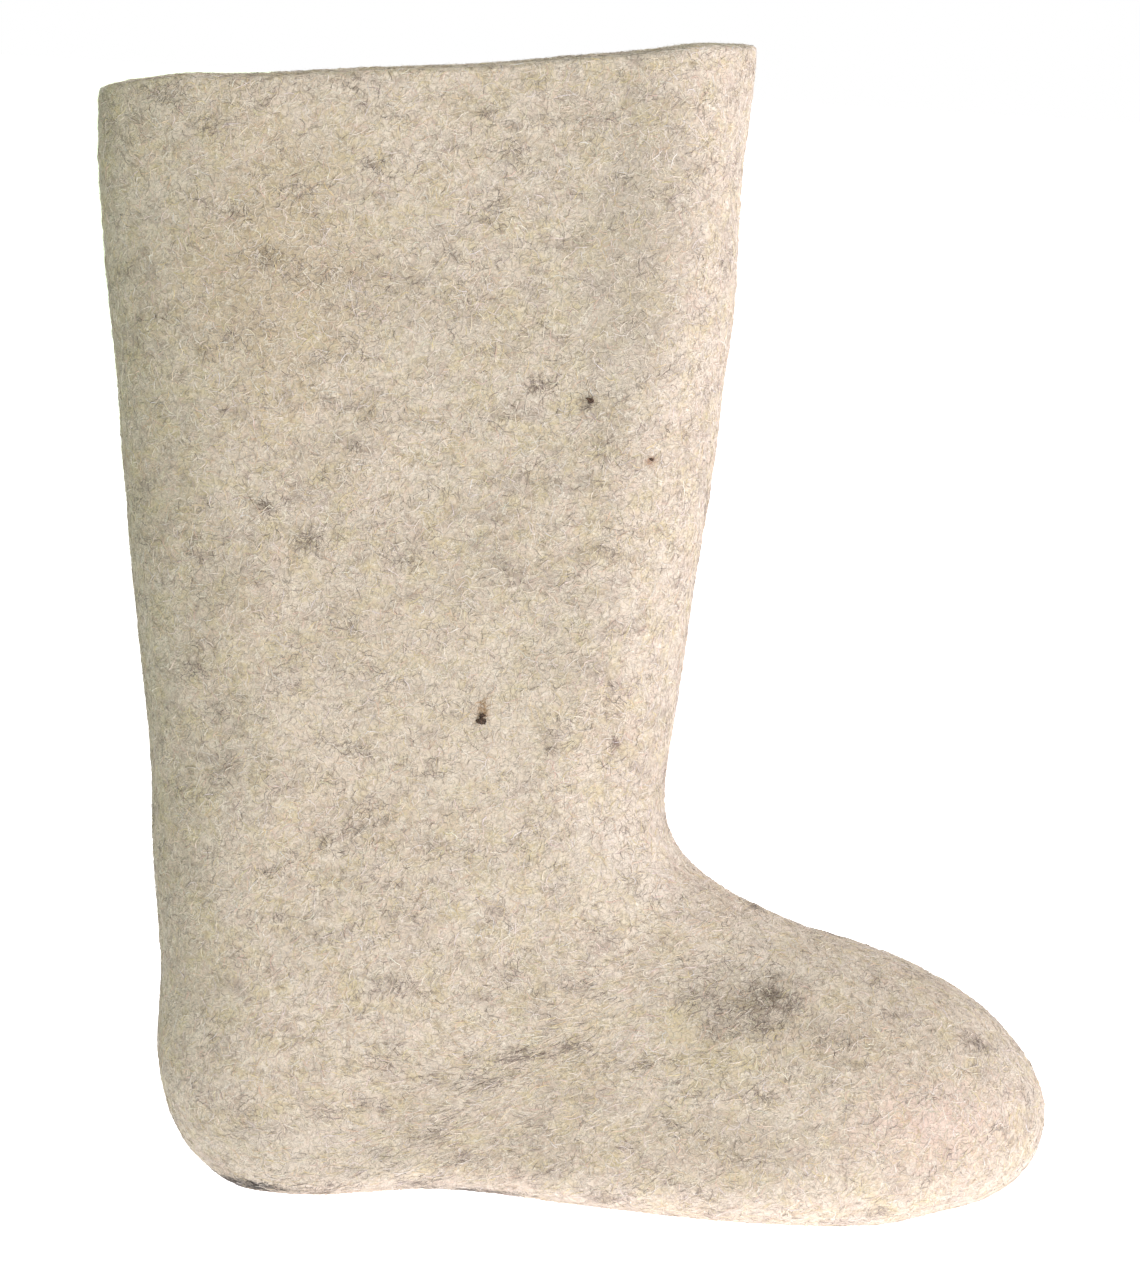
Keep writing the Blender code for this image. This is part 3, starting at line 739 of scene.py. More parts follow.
@dataclass
class Insole:
    """The loose insole: the cavity's outlines at a few heights, drawn in by the gap and joined to a sheet."""

    form: BootForm
    rings: int = 220
    segments: int = 90
    levels: int = 6
    edge_round: float = 0.0012
    least_lift: float = 0.0001

    def __post_init__(self) -> None:
        """Works out the cavity's rings and its floor line, run on straight past heel seat and toe bend."""
        form, toe_x = self.form, self.form.sizes.toe_x
        path = np.linspace(form.knot("ankle"), form.knot(CAVITY_END), self.rings)
        self.cavity = form.rings(path, np.ones_like(path))
        kept = (path >= form.knot(INSOLE_FROM)) & (path <= form.knot(INSOLE_TO))
        x, z = self.cavity[kept, 0, 0], self.cavity[kept, 0, 2]
        slope = (z[-1] - z[-2]) / (x[-1] - x[-2])
        self.line_x = np.concatenate([[-form.sizes.foot_length], x, [toe_x]])
        self.line_z = np.concatenate([z[:1], z, [z[-1] + slope * (toe_x - x[-1])]])

    def floor(self, x: np.ndarray) -> np.ndarray:
        """The height of the cavity's floor at each X."""
        return np.interp(x, self.line_x, self.line_z)

    def outline(self, lift: float) -> np.ndarray:
        """Half of the cavity's outline at a height above its floor, where the rings cross that level.

        Args:
            lift: The height above the floor line.

        Returns:
            X and half-width, from the heel end to the toe end.
        """
        half = self.form.half_segments + 1
        sides = self.cavity[:, :half]
        over = sides[..., 2] - self.floor(sides[..., 0]) - lift
        open_rings = np.flatnonzero(over[:, 0] <= 0)
        high = np.argmax(over[open_rings] > 0, axis=1)
        upper, lower = sides[open_rings, high], sides[open_rings, high - 1]
        above, below = over[open_rings, high], over[open_rings, high - 1]
        across = mix(lower, upper, (below / (below - above))[:, None])
        ends = []
        for inside, outside in ((open_rings[0], open_rings[0] - 1), (open_rings[-1], open_rings[-1] + 1)):
            share = over[inside, 0] / (over[inside, 0] - over[outside, 0])
            ends.append(mix(sides[inside, 0], sides[outside, 0], share))
        return np.array([ends[0], *across, ends[1]])[:, :2] * [1, -1]

    def loop(self, lift: float, gap: float) -> np.ndarray:
        """A whole outline of the sheet, evenly spaced and moved in square to itself.

        Args:
            lift: Its height above the cavity's floor line.
            gap: How far it is moved in.

        Returns:
            Points round the outline, from the heel by the far side to the toe and back.
        """
        outline = self.outline(lift + self.least_lift)
        steps = np.append(0.0, np.cumsum(np.hypot(*np.diff(outline, axis=0).T)))
        even = np.linspace(0, steps[-1], self.segments + 1)
        outline = np.column_stack([np.interp(even, steps, side) for side in outline.T])
        run = np.gradient(outline, axis=0)
        run[0], run[-1] = (0.0, 1.0), (0.0, -1.0)
        run /= np.hypot(*run.T)[:, None]
        half = outline + gap * np.column_stack([run[:, 1], -run[:, 0]])
        half[[0, -1], 1] = 0.0
        whole = np.concatenate([half, (half * [1, -1])[-2:0:-1]])
        return np.column_stack([whole, self.floor(whole[:, 0]) + lift + self.form.sizes.fit_gap])

    def build(self, material: bpy.types.Material) -> bpy.types.Object:
        """Joins the outlines round the edge, and closes the sheet with strips across its two faces.

        Args:
            material: The insole's felt.

        Returns:
            The piece that stands for the CAD node.
        """
        sizes = self.form.sizes
        angle = np.linspace(0, np.pi / 2, self.levels)
        side_lifts = (sizes.insole_thickness - self.edge_round) * np.linspace(0, 1, self.levels)[:-1]
        edge_lifts = sizes.insole_thickness - self.edge_round * (1 - np.sin(angle))
        lifts = np.concatenate([side_lifts, edge_lifts])
        edge_gaps = self.edge_round * (1 - np.cos(angle))
        gaps = np.concatenate([np.zeros(len(side_lifts)), edge_gaps]) + sizes.fit_gap
        loops = np.array([self.loop(lift, gap) for lift, gap in zip(lifts, gaps)])
        around = loops.shape[1]
        level, point = np.meshgrid(np.arange(len(lifts) - 1), np.arange(around), indexing="ij")
        after = (point + 1) % around
        low, high = level * around, (level + 1) * around
        edge = np.stack([low + after, low + point, high + point, high + after], axis=-1).reshape(-1, 4)
        inner = np.arange(1, self.segments - 1)
        strips = np.stack([inner, inner + 1, around - inner - 1, around - inner], axis=-1)
        ends = np.array([[0, 1, around - 1], [self.segments - 1, self.segments, self.segments + 1]])
        top = (len(lifts) - 1) * around
        faces = [edge, strips, strips[:, ::-1] + top, ends, ends[:, ::-1] + top]
        piece = make_piece("insole_surface", loops.reshape(-1, 3), faces, material)
        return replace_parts(piece, "felt_insole")


class HairColour(NamedTuple):
    """A colour of wool and its share among the hairs of one kind."""

    colour: Colour
    share: float


@dataclass(frozen=True)
class HairKind:
    """One kind of wool hair: how many, their sizes in metres, their colours and how much they gather."""

    name: str
    seed: int
    count: int
    length: Span
    width: Span
    lift: Span
    rise: Span
    curl: float
    colours: tuple[HairColour, ...]
    tint_spread: float
    gather: float = 0.0
    steps: int = 3
    fine: bool = False


PALE_HAIRS = HairKind(
    name="pale_hairs",
    seed=21,
    count=23000,
    length=(0.0025, 0.0065),
    width=(0.00016, 0.00029),
    lift=(0.00008, 0.00035),
    rise=(0.0, 0.00035),
    curl=300.0,
    colours=(HairColour((0.83, 0.735, 0.63), 0.6), HairColour((0.90, 0.82, 0.735), 0.4)),
    tint_spread=0.07,
    gather=-0.2,
)

CREAM_HAIRS = HairKind(
    name="cream_hairs",
    seed=26,
    count=22000,
    length=(0.0025, 0.0065),
    width=(0.00016, 0.00028),
    lift=(0.00008, 0.00035),
    rise=(0.0, 0.00035),
    curl=330.0,
    colours=(HairColour((0.79, 0.69, 0.55), 0.5), HairColour((0.87, 0.78, 0.68), 0.5)),
    tint_spread=0.07,
)

WARM_HAIRS = HairKind(
    name="warm_hairs",
    seed=22,
    count=16000,
    length=(0.0025, 0.0062),
    width=(0.00015, 0.00028),
    lift=(0.00006, 0.00030),
    rise=(0.0, 0.00030),
    curl=300.0,
    colours=(HairColour((0.74, 0.63, 0.40), 0.6), HairColour((0.74, 0.56, 0.45), 0.4)),
    tint_spread=0.08,
    gather=-0.5,
)

GREY_HAIRS = HairKind(
    name="grey_hairs",
    seed=23,
    count=18000,
    length=(0.0020, 0.0052),
    width=(0.00012, 0.00022),
    lift=(0.00008, 0.00034),
    rise=(0.0, 0.00025),
    curl=320.0,
    colours=(HairColour((0.48, 0.40, 0.34), 0.55), HairColour((0.37, 0.30, 0.26), 0.45)),
    tint_spread=0.10,
    gather=1.3,
)

DARK_HAIRS = HairKind(
    name="dark_hairs",
    seed=24,
    count=11000,
    length=(0.0016, 0.0048),
    width=(0.00010, 0.00019),
    lift=(0.00010, 0.00036),
    rise=(0.0, 0.00030),
    curl=340.0,
    colours=(HairColour((0.25, 0.19, 0.16), 0.6), HairColour((0.15, 0.11, 0.095), 0.4)),
    tint_spread=0.12,
    gather=1.65,
)

STRAY_HAIRS = HairKind(
    name="stray_hairs",
    seed=25,
    count=22000,
    length=(0.0018, 0.0042),
    width=(0.00006, 0.00011),
    lift=(0.0001, 0.0005),
    rise=(0.0003, 0.0012),
    curl=300.0,
    colours=(HairColour((0.92, 0.86, 0.79), 0.85), HairColour((0.60, 0.50, 0.42), 0.15)),
    tint_spread=0.05,
    fine=True,
)

NAP_HAIRS = HairKind(
    name="nap_hairs",
    seed=27,
    count=40000,
    length=(0.0004, 0.0012),
    width=(0.00005, 0.00009),
    lift=(0.0, 0.0001),
    rise=(0.0005, 0.0013),
    curl=300.0,
    colours=(HairColour((0.93, 0.87, 0.80), 1.0),),
    tint_spread=0.03,
    steps=1,
    fine=True,
)

HAIR_KINDS = (PALE_HAIRS, CREAM_HAIRS, WARM_HAIRS, GREY_HAIRS, DARK_HAIRS, STRAY_HAIRS, NAP_HAIRS)


@dataclass
class Hairs:
    """Hairs of one kind, lying on the outer skin as thin ribbons."""

    skin: Skin
    kind: HairKind
    clumps: WaveField = WaveField(31, 0.007, 0.022)
    stretch: Triple = (0.6, 0.6, 1.3)
    hue_spread: Triple = (0.03, 0.01, 0.06)
    most_twist: float = 0.7
    wobble: float = 0.35
    thinning: float = 0.65
    least_height: float = 0.00002
    least_ring_step: float = 0.0010
    least_around_step: float = 0.0005

    def roots(self, chance: np.random.Generator) -> tuple[np.ndarray, np.ndarray]:
        """Where the hairs start: cells drawn by their area, more often where this kind gathers.

        Args:
            chance: The seeded source of chance.

        Returns:
            Each root's place in rings and round the ring.
        """
        skin = self.skin
        crowd = self.clumps.read(skin.points * self.stretch)
        weight = skin.ring_step * skin.around_step * np.exp(self.kind.gather * crowd)
        weight = (weight / weight.sum()).ravel()
        cells = chance.choice(weight.size, self.kind.count, p=weight)
        ring, spot = np.divmod(cells, skin.points.shape[1])
        return ring + chance.uniform(-0.5, 0.5, ring.size), spot + chance.uniform(-0.5, 0.5, spot.size)

    def centre_lines(self, chance: np.random.Generator) -> tuple[np.ndarray, np.ndarray]:
        """Each hair's line: equal steps along the skin with a turning heading, lifted off it in an arch.

        Args:
            chance: The seeded source of chance.

        Returns:
            The points of the lines, and the skin's normals there.
        """
        skin, kind = self.skin, self.kind
        ring, spot = self.roots(chance)
        length = chance.uniform(*kind.length, kind.count)
        heading = chance.uniform(0, 2 * np.pi, kind.count)
        turn = chance.normal(0, kind.curl, kind.count) * length / kind.steps
        arch, rise = chance.uniform(*kind.lift, kind.count), chance.uniform(*kind.rise, kind.count)
        points, normals = [], []
        for step in range(kind.steps + 1):
            share = step / kind.steps
            normal = skin.read(skin.normals, ring, spot)
            height = arch * math.sin(math.pi * share) + rise * share**2
            points.append(skin.read(skin.points, ring, spot) + normal * height[:, None])
            normals.append(normal)
            move = length / kind.steps
            ring_step = np.maximum(skin.read(skin.ring_step, ring, spot), self.least_ring_step)
            around_step = np.maximum(skin.read(skin.around_step, ring, spot), self.least_around_step)
            down, aside = np.cos(heading) * move / ring_step, np.sin(heading) * move / around_step
            ring, spot = ring + down, spot + aside
            heading = heading + turn + chance.normal(0, self.wobble, kind.count)
        return np.stack(points, axis=1), np.stack(normals, axis=1)

    def build(self, material: bpy.types.Material) -> bpy.types.Object:
        """Gives each line a width that tapers to its tip, square to its heading and turned a little.

        Args:
            material: The hairs' material.

        Returns:
            The new piece.
        """
        kind = self.kind
        chance = np.random.default_rng(kind.seed)
        lines, normals = self.centre_lines(chance)
        run = np.gradient(lines, axis=1)
        side = np.cross(normals, run)
        side /= np.maximum(np.linalg.norm(side, axis=-1, keepdims=True), TINY)
        twist = chance.uniform(-self.most_twist, self.most_twist, (kind.count, 1, 1))
        side = side * np.cos(twist) + normals * np.sin(twist)
        taper = 1 - self.thinning * np.linspace(0, 1, kind.steps + 1) ** 2
        half = chance.uniform(*kind.width, (kind.count, 1)) / 2 * taper
        left, right = lines + side * half[..., None], lines - side * half[..., None]
        points = np.stack([left, right], axis=2).reshape(-1, 3)
        points[:, 2] = np.maximum(points[:, 2], self.least_height)
        start = np.arange(kind.count)[:, None] * (kind.steps + 1) * 2 + np.arange(kind.steps) * 2
        faces = np.stack([start, start + 1, start + 3, start + 2], axis=-1).reshape(-1, 4)
        shares = np.array([one.share for one in kind.colours])
        picked = chance.choice(len(shares), kind.count, p=shares / shares.sum())
        colours = np.array([one.colour for one in kind.colours])[picked]
        colours = colours * np.exp(chance.normal(0, kind.tint_spread, (kind.count, 1)))
        colours = colours * np.exp(chance.normal(0, 1, (kind.count, 3)) * self.hue_spread)
        colours = np.repeat(np.clip(colours, 0, 1), (kind.steps + 1) * 2, axis=0)
        return make_piece(kind.name, points, [faces], material, colours)


class WoolPatch(NamedTuple):
    """Dark wool felted in: its middle on the side view and half-sizes in metres, its hairs and colour."""

    name: str
    side: Side
    x: float
    z: float
    half_x: float
    half_z: float
    hairs: int
    colour: Colour = (0.21, 0.16, 0.13)


WOOL_PATCHES = (
    WoolPatch("heel wool", Side.NEAR, -0.014, 0.0022, 0.010, 0.0014, 620, (0.045, 0.034, 0.030)),
    WoolPatch("waist wool", Side.NEAR, 0.064, 0.0044, 0.013, 0.0014, 560, (0.070, 0.060, 0.060)),
    WoolPatch("grey vamp wool", Side.NEAR, 0.148, 0.074, 0.016, 0.0100, 300),
    WoolPatch("grey vamp core wool", Side.NEAR, 0.157, 0.077, 0.005, 0.0040, 80),
    WoolPatch("burr smudge wool", Side.NEAR, 0.0556, 0.1664, 0.0012, 0.0022, 36, (0.42, 0.27, 0.15)),
    WoolPatch("middle fleck wool", Side.NEAR, 0.1005, 0.1576, 0.0009, 0.0009, 20, (0.34, 0.25, 0.21)),
    WoolPatch("brown shaft wool", Side.NEAR, -0.0256, 0.3134, 0.006, 0.0040, 50),
    WoolPatch("collar wool", Side.NEAR, -0.0621, 0.3641, 0.006, 0.0040, 60),
    WoolPatch("left fleck wool", Side.NEAR, 0.0795, 0.1560, 0.0026, 0.0030, 18),
    WoolPatch("upper burr wool", Side.NEAR, 0.0846, 0.2709, 0.0022, 0.0024, 24),
    WoolPatch("back shaft wool", Side.NEAR, -0.0208, 0.2292, 0.0040, 0.0024, 26),
    WoolPatch("throat wool", Side.NEAR, 0.1172, 0.0523, 0.0024, 0.0018, 12),
    WoolPatch("upper band wool", Side.NEAR, 0.0150, 0.3050, 0.0300, 0.0060, 60),
    WoolPatch("toe ridge wool", Side.NEAR, 0.1900, 0.0620, 0.0240, 0.0060, 60),
    WoolPatch("ball wool", Side.NEAR, 0.1350, 0.0450, 0.0300, 0.0060, 60),
)


@dataclass
class PatchHairs(Hairs):
    """Hairs that start only within one dark patch."""

    patch: WoolPatch = WOOL_PATCHES[0]

    def roots(self, chance: np.random.Generator) -> tuple[np.ndarray, np.ndarray]:
        """Cells drawn by their area and by a bell curve round the patch's middle.

        Args:
            chance: The seeded source of chance.

        Returns:
            Each root's place in rings and round the ring.
        """
        skin, patch = self.skin, self.patch
        x = (skin.points[..., 0] - patch.x) / patch.half_x
        z = (skin.points[..., 2] - patch.z) / patch.half_z
        weight = skin.ring_step * skin.around_step * np.exp(-(x**2) - z**2)
        weight *= skin.points[..., 1] * patch.side.value > 0
        weight = (weight / weight.sum()).ravel()
        cells = chance.choice(weight.size, self.kind.count, p=weight)
        ring, spot = np.divmod(cells, skin.points.shape[1])
        return ring + chance.uniform(-0.5, 0.5, ring.size), spot + chance.uniform(-0.5, 0.5, spot.size)


class Burr(NamedTuple):
    """A small dark bit of husk caught in the felt: its middle on the side view and its radius, in metres."""

    name: str
    side: Side
    x: float
    z: float
    radius: float


BURRS = (
    Burr("upper burr", Side.NEAR, 0.0846, 0.2709, 0.0011),
    Burr("lower burr", Side.NEAR, 0.0567, 0.1630, 0.0014),
    Burr("lower burr's side", Side.NEAR, 0.0555, 0.1641, 0.0009),
    Burr("front burr", Side.NEAR, 0.1068, 0.2526, 0.0006),
)


@dataclass
class Burrs:
    """The bits of husk: lumps half sunk in the skin, each a small ball pushed out of shape."""

    skin: Skin
    rows: int = 9
    around: int = 14
    narrowness: float = 0.7
    flatness: float = 0.6
    first_seed: int = 50
    dent_span: Span = (0.6, 1.8)
    raggedness: float = 0.45
    least_reach: float = 0.6
    sunk: float = 0.25
    other_side: float = 1.0

    def spot(self, burr: Burr) -> tuple[np.ndarray, np.ndarray]:
        """Where a burr sits: the nearest point to its middle in the side view, on its own side.

        Args:
            burr: The burr.

        Returns:
            The skin's point and its normal there.
        """
        gap = np.hypot(self.skin.points[..., 0] - burr.x, self.skin.points[..., 2] - burr.z)
        gap += self.other_side * (self.skin.points[..., 1] * burr.side.value < 0)
        nearest = np.unravel_index(np.argmin(gap), gap.shape)
        return self.skin.points[nearest], self.skin.normals[nearest]

    def build(self, material: bpy.types.Material) -> bpy.types.Object:
        """One mesh of all the lumps.

        Args:
            material: The husk's material.

        Returns:
            The new piece.
        """
        down, turn = np.meshgrid(
            np.linspace(0, np.pi, self.rows + 2)[1:-1],
            np.linspace(0, 2 * np.pi, self.around, endpoint=False),
            indexing="ij",
        )
        ball = np.stack([np.sin(down) * np.cos(turn), np.sin(down) * np.sin(turn), np.cos(down)], axis=-1)
        ball = np.concatenate([ball.reshape(-1, 3), [[0, 0, 1], [0, 0, -1]]])
        groups = tube_faces(self.rows, self.around)
        points, quads, fans = [], [], []
        for number, burr in enumerate(BURRS):
            middle, normal = self.spot(burr)
            dents = WaveField(self.first_seed + number, *self.dent_span).read(ball + number)
            reach = np.maximum(1 + self.raggedness * dents, self.least_reach)
            lump = ball * reach[:, None] * burr.radius * [1.0, self.narrowness, self.flatness]
            basis = np.array(Vector(normal).to_track_quat("Z", "Y").to_matrix())
            points.append(lump @ basis.T + middle + normal * burr.radius * (self.flatness - self.sunk))
            quads.append(groups[0][:, ::-1] + number * len(ball))
            fans.append(groups[1][:, ::-1] + number * len(ball))
        faces = [np.concatenate(quads), np.concatenate(fans)]
        return make_piece("burrs", np.concatenate(points), faces, material)


NOISE_ROUGHNESS = 0.55
MIX_SHARE, MIX_FIRST, MIX_SECOND, MIX_COLOUR = 0, 6, 7, 2
HALF = (0.5, 0.5, 0.5)


class NodeSheet:
    """A node tree, with short calls for the nodes that the finishes are made of."""

    def __init__(self, tree: bpy.types.NodeTree) -> None:
        """Keeps the tree."""
        self.tree = tree

    def add(self, kind: str, inputs: dict, **settings: object) -> bpy.types.Node:
        """A new node with its inputs joined or set.

        Args:
            kind: The node's type.
            inputs: For each input's name or number, a socket to join or a value.
            settings: The node's own settings.

        Returns:
            The node.
        """
        node = self.tree.nodes.new(kind)
        for name, value in settings.items():
            setattr(node, name, value)
        for key, value in inputs.items():
            self.feed(node, key, value)
        return node

    def feed(self, node: bpy.types.Node, key: int | str, value: object) -> None:
        """Joins one input to a socket, or sets it to a value.

        Args:
            node: The node.
            key: The input's name or number.
            value: A socket or a value.
        """
        if isinstance(value, bpy.types.NodeSocket):
            self.tree.links.new(value, node.inputs[key])
        else:
            node.inputs[key].default_value = value

    def number(self, operation: str, *values: object) -> bpy.types.NodeSocket:
        """The result of one math node."""
        return self.add("ShaderNodeMath", dict(enumerate(values)), operation=operation).outputs[0]

    def vector(self, operation: str, *values: object) -> bpy.types.NodeSocket:
        """The result of one vector math node: its length for LENGTH, otherwise its vector."""
        node = self.add("ShaderNodeVectorMath", dict(enumerate(values)), operation=operation)
        return node.outputs["Value" if operation == "LENGTH" else "Vector"]

    def scaled(self, place: bpy.types.NodeSocket, scale: object) -> bpy.types.NodeSocket:
        """A vector times a number."""
        inputs = {"Vector": place, "Scale": scale}
        return self.add("ShaderNodeVectorMath", inputs, operation="SCALE").outputs["Vector"]

    def ramp(
        self, value: bpy.types.NodeSocket, low: object, high: object, start: object, end: object
    ) -> bpy.types.NodeSocket:
        """A smooth step from start, where the value is low, to end, where it is high."""
        inputs = {"Value": value, "From Min": low, "From Max": high, "To Min": start, "To Max": end}
        return self.add("ShaderNodeMapRange", inputs, interpolation_type="SMOOTHSTEP").outputs["Result"]

    def noise(self, place: bpy.types.NodeSocket, scale: object, detail: object) -> bpy.types.Node:
        """A noise node of the given scale and detail."""
        inputs = {"Vector": place, "Scale": scale, "Detail": detail, "Roughness": NOISE_ROUGHNESS}
        return self.add("ShaderNodeTexNoise", inputs)

    def blend(self, share: object, first: object, second: object) -> bpy.types.NodeSocket:
        """The first colour where share is 0, the second where it is 1."""
        inputs = {MIX_SHARE: share, MIX_FIRST: first, MIX_SECOND: second}
        return self.add("ShaderNodeMix", inputs, data_type="RGBA").outputs[MIX_COLOUR]

    def group(self, tree: bpy.types.NodeTree, inputs: dict) -> bpy.types.NodeSocket:
        """A placed group's first output."""
        return self.add("ShaderNodeGroup", inputs, node_tree=tree).outputs[0]


class Shading(NodeSheet):
    """A new material's node tree, with its Principled shader and the place on the piece in millimetres."""

    def __init__(self, name: str) -> None:
        """Makes the material and keeps its parts.

        Args:
            name: The material's name.
        """
        self.material = bpy.data.materials.new(name)
        self.material.use_nodes = True
        super().__init__(self.material.node_tree)
        self.shader = self.tree.nodes["Principled BSDF"]
        self.metres = self.add("ShaderNodeTexCoord", {}).outputs["Object"]
        self.place = self.scaled(self.metres, 1 / MM)

    def finish(self, inputs: dict) -> bpy.types.Material:
        """Feeds the shader.

        Args:
            inputs: The shader's inputs by name: sockets or values.

        Returns:
            The material.
        """
        for key, value in inputs.items():
            self.feed(self.shader, key, value)
        return self.material


def rgba(colour: Colour) -> tuple[float, float, float, float]:
    """A colour with full cover, as the nodes take it."""
    return (*colour, 1.0)


def mask_group(name: str, vectors: tuple[str, ...], numbers: tuple[str, ...]) -> tuple[NodeSheet, dict]:
    """A new node group that puts out one mask.

    Args:
        name: The group's name.
        vectors: The names of its vector inputs.
        numbers: The names of its number inputs.

    Returns:
        The group's sheet, and its input sockets by name.
    """
    tree = bpy.data.node_groups.new(name, "ShaderNodeTree")
    for kind, names in (("NodeSocketVector", vectors), ("NodeSocketFloat", numbers)):
        for one in names:
            tree.interface.new_socket(one, in_out="INPUT", socket_type=kind)
    tree.interface.new_socket("Mask", in_out="OUTPUT", socket_type="NodeSocketFloat")
    given = tree.nodes.new("NodeGroupInput")
    return NodeSheet(tree), {one: given.outputs[one] for one in vectors + numbers}


@dataclass
class FeltEffects:
    """The groups that the felt's finishes share: cloudy patches, curly fibre lines and soft-edged spots."""

    middle: float = 0.5
    bend_scale: float = 1.7
    gate_scale: float = 0.8
    gate_shift: Triple = (37.0, 11.0, 5.0)
    gate_top: float = 0.75
    gate_reach: float = 0.5
    gate_edge: float = 0.05
    crowd_stretch: Triple = (0.6, 0.6, 1.1)
    crowd_scale: float = 0.13
    crowd_detail: float = 3.0
    crowd_span: Span = (0.42, 0.66)
    spot_core: float = 0.25

    def __post_init__(self) -> None:
        """Builds each group once."""
        self.patches = self.build_patches()
        self.lines = self.build_lines()
        self.spot = self.build_spot()

    def build_patches(self) -> bpy.types.NodeTree:
        """Patches: a noise of the wanted size, cut between two levels.

        Returns:
            The group.
        """
        sheet, given = mask_group("wool patches", ("Place",), ("Size", "Detail", "Low", "High"))
        scale = sheet.number("DIVIDE", 1.0, given["Size"])
        noise = sheet.noise(given["Place"], scale, given["Detail"]).outputs["Fac"]
        mask = sheet.ramp(noise, given["Low"], given["High"], 0.0, 1.0)
        sheet.add("NodeGroupOutput", {"Mask": mask})
        return sheet.tree

    def build_lines(self) -> bpy.types.NodeTree:
        """Fibre lines: where a bent noise crosses its middle, cut short by one noise and crowded by another.

        Returns:
            The group.
        """
        sheet, given = mask_group("fibre lines", ("Place", "Shift"), ("Size", "Thin", "Kept", "Clustered"))
        moved = sheet.vector("ADD", given["Place"], given["Shift"])
        scale = sheet.number("DIVIDE", 1.0, given["Size"])
        bend = sheet.noise(moved, sheet.number("MULTIPLY", scale, self.bend_scale), 1.0).outputs["Color"]
        bend = sheet.scaled(sheet.vector("SUBTRACT", bend, HALF), given["Size"])
        noise = sheet.noise(sheet.vector("ADD", moved, bend), scale, 0.0).outputs["Fac"]
        away = sheet.number("ABSOLUTE", sheet.number("SUBTRACT", noise, self.middle))
        line = sheet.ramp(away, 0.0, given["Thin"], 1.0, 0.0)
        aside = sheet.vector("ADD", moved, self.gate_shift)
        gate = sheet.noise(aside, sheet.number("MULTIPLY", scale, self.gate_scale), 1.0).outputs["Fac"]
        reach = sheet.number("MULTIPLY", given["Kept"], self.gate_reach)
        gate_low = sheet.number("SUBTRACT", self.gate_top, reach)
        kept = sheet.ramp(gate, gate_low, sheet.number("ADD", gate_low, self.gate_edge), 0.0, 1.0)
        stretched = sheet.vector("MULTIPLY", moved, self.crowd_stretch)
        crowd = sheet.noise(stretched, self.crowd_scale, self.crowd_detail).outputs["Fac"]
        sparse = sheet.number("SUBTRACT", 1.0, given["Clustered"])
        crowd = sheet.ramp(crowd, *self.crowd_span, sparse, 1.0)
        mask = sheet.number("MULTIPLY", sheet.number("MULTIPLY", line, kept), crowd)
        sheet.add("NodeGroupOutput", {"Mask": mask})
        return sheet.tree

    def build_spot(self) -> bpy.types.NodeTree:
        """A soft spot: the distance from its middle in half-sizes, made uneven, from 1 inside to 0.

        Returns:
            The group.
        """
        sheet, given = mask_group("soft spot", ("Place", "Middle", "Half Size", "Uneven"), ("Ragged",))
        wobble = sheet.scaled(given["Uneven"], given["Ragged"])
        away = sheet.vector("SUBTRACT", given["Place"], given["Middle"])
        away = sheet.vector("DIVIDE", away, given["Half Size"])
        far = sheet.vector("LENGTH", sheet.vector("ADD", away, wobble))
        sheet.add("NodeGroupOutput", {"Mask": sheet.ramp(far, self.spot_core, 1.0, 1.0, 0.0)})
        return sheet.tree


class PatchTone(NamedTuple):
    """A tone in cloudy patches: its colour, size in millimetres, how much longer they lie, and levels."""

    name: str
    colour: Colour
    size: float
    longer: float
    detail: float
    low: float
    high: float
    strength: float


class LineTone(NamedTuple):
    """A tone in fibre lines: its colour, curls in millimetres, and how thin, frequent and clustered."""

    name: str
    colour: Colour
    size: float
    thin: float
    shift: float
    kept: float
    clustered: float
    strength: float
    relief: float


class Mark(NamedTuple):
    """A stain, a fleck or a patch of painted light: its side, middle and half-sizes in millimetres,
    raggedness, colour and strength.
    """

    name: str
    side: Side
    x: float
    z: float
    half_x: float
    half_z: float
    ragged: float
    colour: Colour
    strength: float


MARK_DEPTH = 40.0

MARK_GRAIN = 0.35
MARK_DETAIL = 3.0

